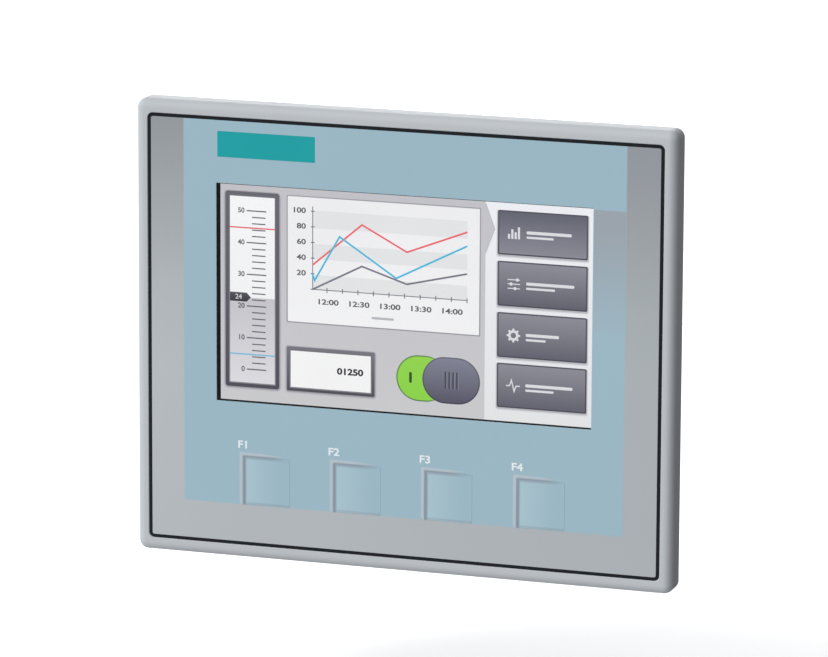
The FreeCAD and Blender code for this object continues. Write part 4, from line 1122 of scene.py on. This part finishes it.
@dataclass
class Screen(Assembly):
    """The display's lit picture, drawn in layers on the front of the crystal cell.

    Places are (u, v) from the picture's lower left corner.
    """

    inset: float = 0.53
    foot: float = 0.44
    head: float = 0.71
    spare: float = 0.36
    layer: float = 0.014
    left: float = 0.0
    bottom: float = 0.0
    width: float = 0.0
    height: float = 0.0
    front: float = 0.0
    text_grey: Rgb = (86, 87, 94)
    buttons: Sequence[ScreenButton] = (
        ScreenButton(41.65, 52.8, Icon.BARS, 11.6, (138, 138, 149), (94, 96, 109)),
        ScreenButton(28.75, 40.05, Icon.SLIDERS, 12.4),
        ScreenButton(15.8, 27.15, Icon.RING, 8.6), ScreenButton(3.1, 14.35, Icon.PULSE, 12.2))

    def place(self) -> None:
        """Finds the picture's place from the window and the cell."""
        low, high = edges("window_film")
        self.left = low.x + self.inset
        self.bottom = low.z + self.foot
        self.width = high.x - self.left
        self.height = high.z - self.bottom - self.head
        self.front = edges("display_panel")[0].y

    def at(self, points: Iterable[Point]) -> List[Point]:
        """Turns (u, v) places into places on the front."""
        return [(self.left + u, self.bottom + v) for u, v in points]

    def depth(self, level: float) -> float:
        """Depth of a layer of the picture."""
        return self.front - self.layer * (level + 1)

    def show(self, name: str, sketch: Sketch, finish: Finish) -> None:
        """Places one layer of the picture."""
        put("screen_" + name, sketch.mesh("screen_" + name), finish, HOUSING)

    def ink(self, name: str, low: Rgb, high: Optional[Rgb] = None, v0: float = 0.0, v1: float = 54.0) -> ScreenInk:
        """A picture colour, or one that runs from v0 up to v1."""
        return ScreenInk("ink_" + name, low, high or low, self.bottom + v0, self.bottom + v1)

    def box(self, sketch: Sketch, u0: float, u1: float, v0: float, v1: float, level: float,
            r: float = 0.0) -> Sketch:
        """Adds a filled box, rounded if r is given."""
        return sketch.shape(self.at(rounded(u0, u1, v0, v1, r, 12 if r > 3 else 5)), self.depth(level))

    def fill(self, name: str, span: Tuple[float, float, float, float], level: float, r: float,
             *colours: object) -> None:
        """Shows one filled box.

        Args:
            name: The layer's name.
            span: Its left, right, bottom and top edge.
            level: Its layer.
            r: Its corner radius.
            colours: What ink takes after the name.
        """
        self.show(name, self.box(Sketch(), *span, level, r), self.ink(name, *colours))

    def line(self, sketch: Sketch, points: Sequence[Point], width: float, level: float) -> Sketch:
        """Adds a line."""
        return sketch.shape(self.at(stroke(points, width)), self.depth(level))

    def words(self, name: str, labels: Sequence[Label], level: float, finish: Finish) -> None:
        """Adds numerals, whose places are (u, v).

        Args:
            name: The layer's name.
            labels: The numerals.
            level: Their layer.
            finish: Their ink.
        """
        moved = [replace(t, x=self.left + t.x, z=self.bottom + t.z) for t in labels]
        put("screen_" + name, lettering("screen_" + name, moved, self.depth(level)), finish, HOUSING)

    def build(self) -> None:
        """Draws the whole picture."""
        self.place()
        self.ground()
        self.gauge()
        self.chart()
        self.number_field()
        self.toggle()
        self.side_buttons()

    def ground(self) -> None:
        """Grey ground, and the pale panel behind the buttons with its arrow notch."""
        self.fill("ground", (-0.08, self.width, -self.spare, self.height + 0.2), 0, 0.0, (203, 203, 206),
                  (196, 195, 201))
        pale = [(69.6, -self.spare), (self.width, -self.spare), (self.width, self.height + 0.2),
                (69.6, self.height + 0.2), (69.6, 54.1),
                (71.95, 47.9), (69.6, 41.7)]
        self.show("side_panel", Sketch().shape(self.at(pale), self.depth(1)),
                  self.ink("side_panel", (228, 230, 232), (240, 241, 246)))
        self.show("side_line", self.line(Sketch(), [(69.6, 41.7), (71.95, 47.9), (69.6, 54.1)], 0.3, 1.3),
                  self.ink("side_line", (190, 191, 197)))

    def frame(self, name: str, u0: float, u1: float, v0: float, v1: float, border: float, r: float, low: Rgb,
              high: Rgb) -> None:
        """Adds a dark border with a paler inner line and a soft shade round it.

        Args:
            name: The border's name.
            u0: Its left edge.
            u1: Its right edge.
            v0: Its bottom edge.
            v1: Its top edge.
            border: Its width.
            r: Its outer corner radius.
            low: Its colour at the bottom.
            high: Its colour at the top.
        """
        inner = rounded(u0 + border, u1 - border, v0 + border, v1 - border, max(r - border, 0.12))
        self.show(name + "_frame", Sketch().band(self.at(rounded(u0, u1, v0, v1, r)), self.at(inner),
                                                 self.depth(3)),
                  self.ink(name + "_frame", low, high, v0, v1))
        near = rounded(u0 + border - 0.3, u1 - border + 0.3, v0 + border - 0.3, v1 - border + 0.3,
                       max(r - border + 0.3, 0.2))
        self.show(name + "_inner_line", Sketch().band(self.at(near), self.at(inner), self.depth(4)),
                  self.ink(name + "_inner_line", (136, 134, 143), (112, 110, 118), v0, v1))
        for step, (grow, rgb) in enumerate(((0.55, (190, 189, 195)), (0.28, (158, 156, 164)))):
            halo = rounded(u0 - grow, u1 + grow, v0 - grow * 1.2, v1 + grow * 0.6, r + grow)
            self.show("%s_shade_%d" % (name, step + 1), Sketch().shape(self.at(halo), self.depth(1.5 + 0.3 * step)),
                      self.ink("%s_shade_%d" % (name, step + 1), rgb))

    def gauge(self) -> None:
        """Upright gauge with its scale, limits and marker."""
        self.frame("gauge", 1.25, 15.55, 3.1, 53.0, 1.2, 0.7, (76, 74, 84), (104, 102, 111))
        self.fill("gauge_face", (2.4, 14.5, 4.25, 51.85), 2.2, 0.0, (243, 243, 246), (247, 248, 250), 4, 52)
        self.fill("gauge_level", (2.4, 14.5, 4.25, 26.1), 2.5, 0.0, (222, 221, 225), (198, 197, 203), 4, 26)
        ticks = Sketch()
        for i in range(6):
            v = 7.75 + 8.09 * i
            self.line(ticks, [(6.9, v), (12.1, v)], 0.32, 4)
            if i < 5:
                for k in range(1, 5):
                    self.line(ticks, [(8.3, v + 1.618 * k), (11.9, v + 1.618 * k)], 0.3, 4)
        self.show("gauge_ticks", ticks, self.ink("gauge_ticks", (98, 97, 106)))
        self.show("gauge_high", self.line(Sketch(), [(2.45, 43.85), (14.4, 43.85)], 0.36, 4.5),
                  self.ink("limit_red", (232, 104, 110)))
        self.show("gauge_low", self.line(Sketch(), [(2.45, 11.55), (14.4, 11.55)], 0.36, 4.5),
                  self.ink("limit_blue", (122, 186, 220)))
        tens = [Label(str(10 * i), 6.35, 7.75 + 8.09 * i, 1.3, "RIGHT", 0.045) for i in range(6)]
        self.words("gauge_scale", tens, 5, self.ink("scale_text", self.text_grey))
        marker = [(2.45, 25.0), (6.9, 25.0), (8.0, 26.15), (6.9, 27.3), (2.45, 27.3)]
        self.show("gauge_marker", Sketch().shape(self.at(marker), self.depth(5)),
                  self.ink("marker", (52, 50, 58), (84, 82, 90), 25.0, 27.3))
        self.words("gauge_value", [Label("24", 4.75, 26.15, 1.3, "CENTER", 0.03)], 6,
                   self.ink("marker_text", (206, 206, 210)))

    def chart(self) -> None:
        """Line chart on a white card."""
        self.fill("chart_edge", (17.5, 68.4, 20.55, 52.95), 2, 0.35, (140, 139, 147), (158, 158, 165))
        self.fill("chart_card", (17.8, 68.1, 20.85, 52.65), 2.6, 0.2, (247, 247, 249), (240, 240, 242))
        bands = Sketch()
        for low, high in ((44.95, 49.4), (37.1, 40.95), (29.4, 33.1)):
            self.box(bands, 24.4, 64.95, low, high, 3)
        self.show("chart_bands", bands, self.ink("chart_bands", (229, 230, 232)))
        axes = Sketch()
        self.line(axes, [(24.4, 50.4), (24.4, 29.3)], 0.24, 4)
        self.line(axes, [(24.2, 29.4), (65.0, 29.4)], 0.24, 4)
        for i in range(6):
            self.line(axes, [(23.9, 29.4 + 3.96 * i), (24.9, 29.4 + 3.96 * i)], 0.28, 4)
        for i in range(10):
            self.line(axes, [(28.2 + 4.08 * i, 28.75), (28.2 + 4.08 * i, 30.0)], 0.28, 4)
        self.show("chart_axes", axes, self.ink("chart_axes", (122, 123, 131)))
        numbers = [Label(str(20 * i), 22.6, 29.4 + 3.96 * i, 1.35, "RIGHT", 0.05, spread=1.3) for i in range(1, 6)]
        for i in range(5):
            clock = "%d:%02d" % (12 + i // 2, 30 * (i % 2))
            numbers.append(Label(clock, 28.4 + 8.13 * i, 26.3, 1.35, "CENTER", 0.05, spread=1.4))
        self.words("chart_numbers", numbers, 5, self.ink("chart_text", self.text_grey))
        self.fill("chart_caption", (40.0, 45.8, 22.9, 23.5), 4, 0.2, (182, 183, 188))
        curves = (("red", (236, 104, 110), ((24.4, 35.6), (37.4, 46.6), (49.2, 40.5), (64.9, 46.6))),
                  ("blue", (62, 184, 220), ((24.3, 33.4), (24.95, 31.7), (31.5, 43.2), (46.4, 33.7), (64.9, 43.1))),
                  ("grey", (120, 118, 132), ((24.4, 29.4), (37.4, 36.1), (49.2, 32.4), (64.9, 36.1))))
        for level, (name, rgb, points) in enumerate(curves):
            self.show("curve_" + name, self.line(Sketch(), points, 0.46, 5.5 + level * 0.4),
                      self.ink("curve_" + name, rgb))

    def number_field(self) -> None:
        """White field with a number."""
        self.frame("field", 17.6, 40.8, 3.1, 14.4, 1.0, 0.35, (76, 75, 84), (118, 117, 126))
        self.fill("field_face", (18.5, 39.9, 4.05, 13.45), 2.2, 0.0, (246, 246, 247))
        self.words("field_value", [Label("01250", 37.8, 8.9, 1.6, "RIGHT", 0.09, spread=1.25)], 4,
                   self.ink("field_text", (44, 44, 50)))

    def toggle(self) -> None:
        """Green track with a dark sliding knob."""
        self.fill("toggle_edge", (46.5, 60.0, 2.95, 14.65), 2, 5.85, (96, 132, 74), (120, 158, 96))
        self.fill("toggle_track", (46.85, 60.0, 3.3, 14.3), 2.5, 5.5, (138, 212, 70), (146, 214, 74), 3, 14.5)
        self.fill("toggle_sign", (49.9, 50.6, 7.5, 10.2), 3, 0.2, (40, 78, 22))
        self.fill("knob_edge", (53.35, 68.45, 2.9, 14.7), 3.5, 5.89, (64, 62, 78), (104, 105, 118), 3, 14.5)
        self.fill("knob", (53.7, 68.1, 3.25, 14.35), 4, 5.54, (84, 81, 100), (128, 131, 148), 3.2, 14.4)
        grips = Sketch()
        for i in range(4):
            self.line(grips, [(59.4 + 1.0 * i, 6.7), (59.4 + 1.0 * i, 11.0)], 0.4, 4.5)
        self.show("knob_grips", grips, self.ink("knob_grips", (70, 69, 82)))
        shine = Sketch()
        for i in range(4):
            self.line(shine, [(59.8 + 1.0 * i, 6.7), (59.8 + 1.0 * i, 11.0)], 0.2, 4.5)
        self.show("knob_shine", shine, self.ink("knob_shine", (128, 128, 141)))

    def side_buttons(self) -> None:
        """Four dark buttons with plain pictures and bars."""
        for i, b in enumerate(self.buttons, 1):
            name = "button_%d" % i
            for step, (grow, rgb) in enumerate(((0.7, (214, 215, 219)), (0.4, (182, 182, 189)))):
                self.show("%s_shade_%d" % (name, step + 1),
                          self.box(Sketch(), 72.85 - grow * 0.6, 95.95 + grow * 0.6, b.low - grow, b.high,
                                   2 + 0.2 * step, 0.5),
                          self.ink("button_shade_%d" % (step + 1), rgb))
            self.fill(name + "_edge", (72.8, 96.0, b.low, b.high), 2.6, 0.45, (72, 71, 82), (80, 80, 92), b.low,
                      b.high)
            self.fill(name, (73.15, 95.65, b.low + 0.35, b.high - 0.35), 3, 0.25, b.foot, b.top, b.low, b.high)
            marks = Sketch()
            middle = (b.low + b.high) / 2
            self.picture(marks, b.icon, 77.0, middle)
            self.box(marks, 80.2, 80.2 + b.bar, middle - 0.1, middle + 0.66, 4, 0.3)
            self.box(marks, 80.2, 80.2 + b.bar * 0.6, middle - 1.2, middle - 0.65, 4, 0.2)
            self.show(name + "_marks", marks, self.ink("button_marks", (222, 222, 227)))

    def picture(self, marks: Sketch, icon: Icon, u: float, v: float) -> None:
        """Adds a small plain picture centred at (u, v).

        Args:
            marks: The sketch that it joins.
            icon: Which picture.
            u: Its middle, from the left.
            v: Its middle, from the bottom.
        """
        if icon is Icon.BARS:
            for k, height in enumerate((1.2, 2.4, 1.7, 3.0)):
                self.box(marks, u - 1.6 + 0.85 * k, u - 1.05 + 0.85 * k, v - 1.5, v - 1.5 + height, 4)
        elif icon is Icon.SLIDERS:
            for k, spot in enumerate((0.9, -0.7, 0.3)):
                self.line(marks, [(u - 1.6, v + 1.1 - 1.1 * k), (u + 1.6, v + 1.1 - 1.1 * k)], 0.24, 4)
                self.box(marks, u + spot - 0.32, u + spot + 0.32, v + 0.72 - 1.1 * k, v + 1.48 - 1.1 * k, 4.2, 0.15)
        elif icon is Icon.RING:
            marks.band(self.at(rounded(u - 1.35, u + 1.35, v - 1.35, v + 1.35, 1.34)),
                       self.at(rounded(u - 0.7, u + 0.7, v - 0.7, v + 0.7, 0.69)), self.depth(4))
            for k in range(8):
                a = math.radians(45 * k)
                self.line(marks, [(u + 1.25 * math.cos(a), v + 1.25 * math.sin(a)),
                                  (u + 1.75 * math.cos(a), v + 1.75 * math.sin(a))], 0.5, 4.1)
        else:
            wave = [(u - 1.8, v), (u - 0.9, v), (u - 0.4, v + 1.4), (u + 0.3, v - 1.4), (u + 0.8, v), (u + 1.8, v)]
            self.line(marks, wave, 0.3, 4)


@dataclass
class Electronics(Assembly):
    """Chassis plate, main board, flat cables and what is soldered on the board."""

    def finishes(self) -> Dict[str, Finish]:
        """Which finish each of its nodes takes.

        Returns:
            Each node with its finish.
        """
        return {"chassis_plate": PLATE_METAL, "plate_screws": SCREW_METAL, "board_spacers": BRASS,
                "main_board": BOARD, "board_screws": SCREW_METAL, "ribbon_connectors": CREAM,
                "display_ribbon": RIBBON, "touch_ribbon": RIBBON, "key_ribbon": RIBBON, "processor": CHIP,
                "memory_chips": CHIP, "control_chips": CHIP, "power_coils": COIL, "smoothing_capacitors": CAN_METAL,
                "backup_capacitor": SLEEVE, "buzzer": BLACK_PLASTIC}


@dataclass
class Ports(Assembly):
    """Network, USB and power sockets in the bottom wall."""

    def finishes(self) -> Dict[str, Finish]:
        """Which finish each of its nodes takes.

        Returns:
            Each node with its finish.
        """
        middle = sum(corner.x for corner in edges("ethernet_lights")) / 2
        return {"ethernet_shell": SHELL_METAL, "ethernet_insert": BLACK_PLASTIC,
                "ethernet_lights": PortLight("port_light_windows", middle), "ethernet_contacts": GOLD,
                "usb_shell": SHELL_METAL, "usb_insert": BLACK_PLASTIC, "usb_contacts": GOLD,
                "power_socket": PLUG_GREEN, "power_pins": TIN}


@dataclass
class PowerPlug(Assembly):
    """Pull-off plug with its three wire screws."""

    poles: int = 3

    def finishes(self) -> Dict[str, Finish]:
        """Which finish each of its nodes takes.

        Returns:
            Each node with its finish.
        """
        chosen: Dict[str, Finish] = {"terminal_screw_%d" % i: SCREW_METAL for i in range(1, self.poles + 1)}
        chosen["power_plug"] = PLUG_GREEN
        return chosen

    def build(self) -> None:
        """Prints plain pole numbers beside the screws, on the plug's back."""
        back = edges("power_plug")[1].y
        labels = []
        for i in range(1, self.poles + 1):
            low, high = edges("terminal_screw_%d" % i)
            labels.append(Label(str(i), (low.x + high.x) / 2, high.z + 1.3, 1.1, "CENTER", 0.02))
        put("pole_numbers", lettering("pole_numbers", labels, back + 0.002, 0.002, True), LEGEND_WHITE, "plug")


@dataclass
class RearCover(Assembly):
    """Rear cover with its screws and blank label."""

    label_margin: float = 2.0

    def finishes(self) -> Dict[str, Finish]:
        """Which finish each of its nodes takes."""
        return {"rear_cover": COVER_GREY, "cover_screws": SCREW_METAL, "rear_label": LABEL_FOIL}

    def build(self) -> None:
        """Rules plain lines on the blank label."""
        low, high = edges("rear_label")
        y = high.y + 0.006
        m = self.label_margin
        rows = Sketch()
        rows.band(rounded(low.x + m, high.x - m, low.z + m, high.z - m, 0.5),
                  rounded(low.x + m + 0.25, high.x - m - 0.25, low.z + m + 0.25, high.z - m - 0.25, 0.3), y)
        for i in range(1, 4):
            z = low.z + m + i * (high.z - low.z - 2 * m) / 4
            rows.shape(stroke([(low.x + m + 0.2, z), (high.x - m - 0.2, z)], 0.2), y)
        mesh = rows.mesh("label_lines")
        mesh.flip_normals()
        put("label_lines", mesh, LABEL_LINES, HOUSING)


@dataclass
class MountingClips(Assembly):
    """Clips that hook into the cover, with the screws that press on the door."""

    count: int = 4

    def finishes(self) -> Dict[str, Finish]:
        """Which finish each of its nodes takes.

        Returns:
            Each node with its finish.
        """
        chosen: Dict[str, Finish] = {"clip_screw_%d" % i: CLAMP_METAL for i in range(1, self.count + 1)}
        chosen["mounting_clips"] = CLIP_BLACK
        return chosen


# ------------------------------------------------------------------ studio
@dataclass
class Studio:
    """Pale floor, soft light and camera."""

    azimuth: float = 18.66
    elevation: float = 12.01
    roll: float = 0.28
    distance: float = 1.488
    lens: float = 259.7
    target: Tuple[float, float, float] = (0.0007, -0.0002, 0.0028)
    floor_drop: float = 0.035
    floor_reach: float = 12.0
    sky_mean: float = 0.46
    sky_swing: float = 0.38
    sky_towards: Tuple[float, float, float] = (-0.9, -0.35, 0.25)

    def build(self) -> None:
        """Sets up the studio."""
        scene = bpy.context.scene
        scene.view_settings.view_transform = "Standard"
        scene.view_settings.look = "None"
        self.camera(scene)
        self.floor(scene)
        self.sky(scene)
        self.sun(scene, "key_light", -40.0, 45.0, 1.4, 30.0)
        self.sun(scene, "low_light", -25.0, -30.0, 0.5, 60.0)
        self.sun(scene, "rear_light", -152.0, 14.0, 1.2, 40.0)

    def camera(self, scene: bpy.types.Scene) -> None:
        """Places the camera.

        Args:
            scene: The scene.
        """
        a, e, r = (math.radians(v) for v in (self.azimuth, self.elevation, self.roll))
        back = Vector((math.sin(a) * math.cos(e), -math.cos(a) * math.cos(e), math.sin(e)))
        right = Vector((math.cos(a), math.sin(a), 0.0))
        up = back.cross(right)
        turned_right = right * math.cos(r) + up * math.sin(r)
        turned_up = up * math.cos(r) - right * math.sin(r)
        data = bpy.data.cameras.new("camera")
        data.lens = self.lens
        data.sensor_width = 36.0
        data.clip_start, data.clip_end = 0.05, 50.0
        holder = bpy.data.objects.new("camera", data)
        turn = Matrix((turned_right, turned_up, back)).transposed().to_4x4()
        holder.matrix_world = Matrix.Translation(Vector(self.target) + back * self.distance) @ turn
        scene.collection.objects.link(holder)
        scene.camera = holder

    def floor(self, scene: bpy.types.Scene) -> None:
        """Lays a wide pale floor under the panel.

        Args:
            scene: The scene.
        """
        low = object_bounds()[0]
        bm = bmesh.new()
        bmesh.ops.create_grid(bm, x_segments=8, y_segments=8, size=self.floor_reach)
        mesh = bpy.data.meshes.new("floor")
        bm.to_mesh(mesh)
        bm.free()
        g = Graph("floor_paint")
        g.colour(g.blend(g.noise(0.002, 2.0), (246, 246, 246), (251, 251, 251)))
        g.set(Roughness=0.95, Specular_IOR_Level=0.1, Emission_Color=(1.0, 1.0, 1.0, 1.0), Emission_Strength=0.45)
        mesh.materials.append(g.material)
        plane = bpy.data.objects.new("floor", mesh)
        plane.location = (0, 0, low[2] - self.floor_drop)
        plane.visible_diffuse = False
        plane.visible_glossy = False
        plane.visible_shadow = False
        scene.collection.objects.link(plane)
        plane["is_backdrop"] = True

    def sky(self, scene: bpy.types.Scene) -> None:
        """White surroundings, which light the panel more from the upper left front than from the right.

        Args:
            scene: The scene.
        """
        world = bpy.data.worlds.new("surroundings")
        scene.world = world
        world.use_nodes = True
        tree = world.node_tree
        tree.nodes.clear()
        output = tree.nodes.new("ShaderNodeOutputWorld")
        seen = tree.nodes.new("ShaderNodeBackground")
        light = tree.nodes.new("ShaderNodeBackground")
        seen.inputs["Color"].default_value = (1, 1, 1, 1)
        seen.inputs["Strength"].default_value = 1.0
        light.inputs["Color"].default_value = (0.97, 0.985, 1.0, 1)
        direction = tree.nodes.new("ShaderNodeTexCoord")
        facing = tree.nodes.new("ShaderNodeVectorMath")
        facing.operation = "DOT_PRODUCT"
        facing.inputs[1].default_value = Vector(self.sky_towards).normalized()
        tree.links.new(direction.outputs["Generated"], facing.inputs[0])
        strength = tree.nodes.new("ShaderNodeMath")
        strength.operation = "MULTIPLY_ADD"
        strength.use_clamp = True
        strength.inputs[1].default_value = self.sky_swing
        strength.inputs[2].default_value = self.sky_mean
        tree.links.new(facing.outputs["Value"], strength.inputs[0])
        tree.links.new(strength.outputs[0], light.inputs["Strength"])
        mix = tree.nodes.new("ShaderNodeMixShader")
        path = tree.nodes.new("ShaderNodeLightPath")
        tree.links.new(path.outputs["Is Camera Ray"], mix.inputs[0])
        tree.links.new(light.outputs[0], mix.inputs[1])
        tree.links.new(seen.outputs[0], mix.inputs[2])
        tree.links.new(mix.outputs[0], output.inputs["Surface"])

    def sun(self, scene: bpy.types.Scene, name: str, azimuth: float, elevation: float, strength: float,
            softness: float) -> None:
        """Adds a broad soft light.

        Args:
            scene: The scene.
            name: The light's name.
            azimuth: Where it stands round the panel, negative to the operator's left.
            elevation: How high it stands.
            strength: How strong it is.
            softness: The angle that it fills, in degrees.
        """
        a, e = math.radians(azimuth), math.radians(elevation)
        towards = Vector((math.sin(a) * math.cos(e), -math.cos(a) * math.cos(e), math.sin(e)))
        data = bpy.data.lights.new(name, "SUN")
        data.energy = strength
        data.angle = math.radians(softness)
        lamp = bpy.data.objects.new(name, data)
        lamp.rotation_mode = "QUATERNION"
        lamp.rotation_quaternion = towards.to_track_quat("Z", "Y")
        lamp.location = towards * 3
        scene.collection.objects.link(lamp)


def main() -> None:
    """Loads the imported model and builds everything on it."""
    logging.basicConfig(level=logging.INFO, format="%(name)s: %(message)s")
    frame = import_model()
    for assembly in (FrontFrame(), CoverSheet(), FunctionKeys(), DisplayModule(), Screen(), Electronics(),
                     Ports(), PowerPlug(), RearCover(), MountingClips()):
        log.info("sub-assembly %s", type(assembly).__name__)
        assembly.dress(frame["nodes"])
        assembly.build()
    Studio().build()
    bpy.context.view_layer.update()


if __name__ == "__main__":
    main()
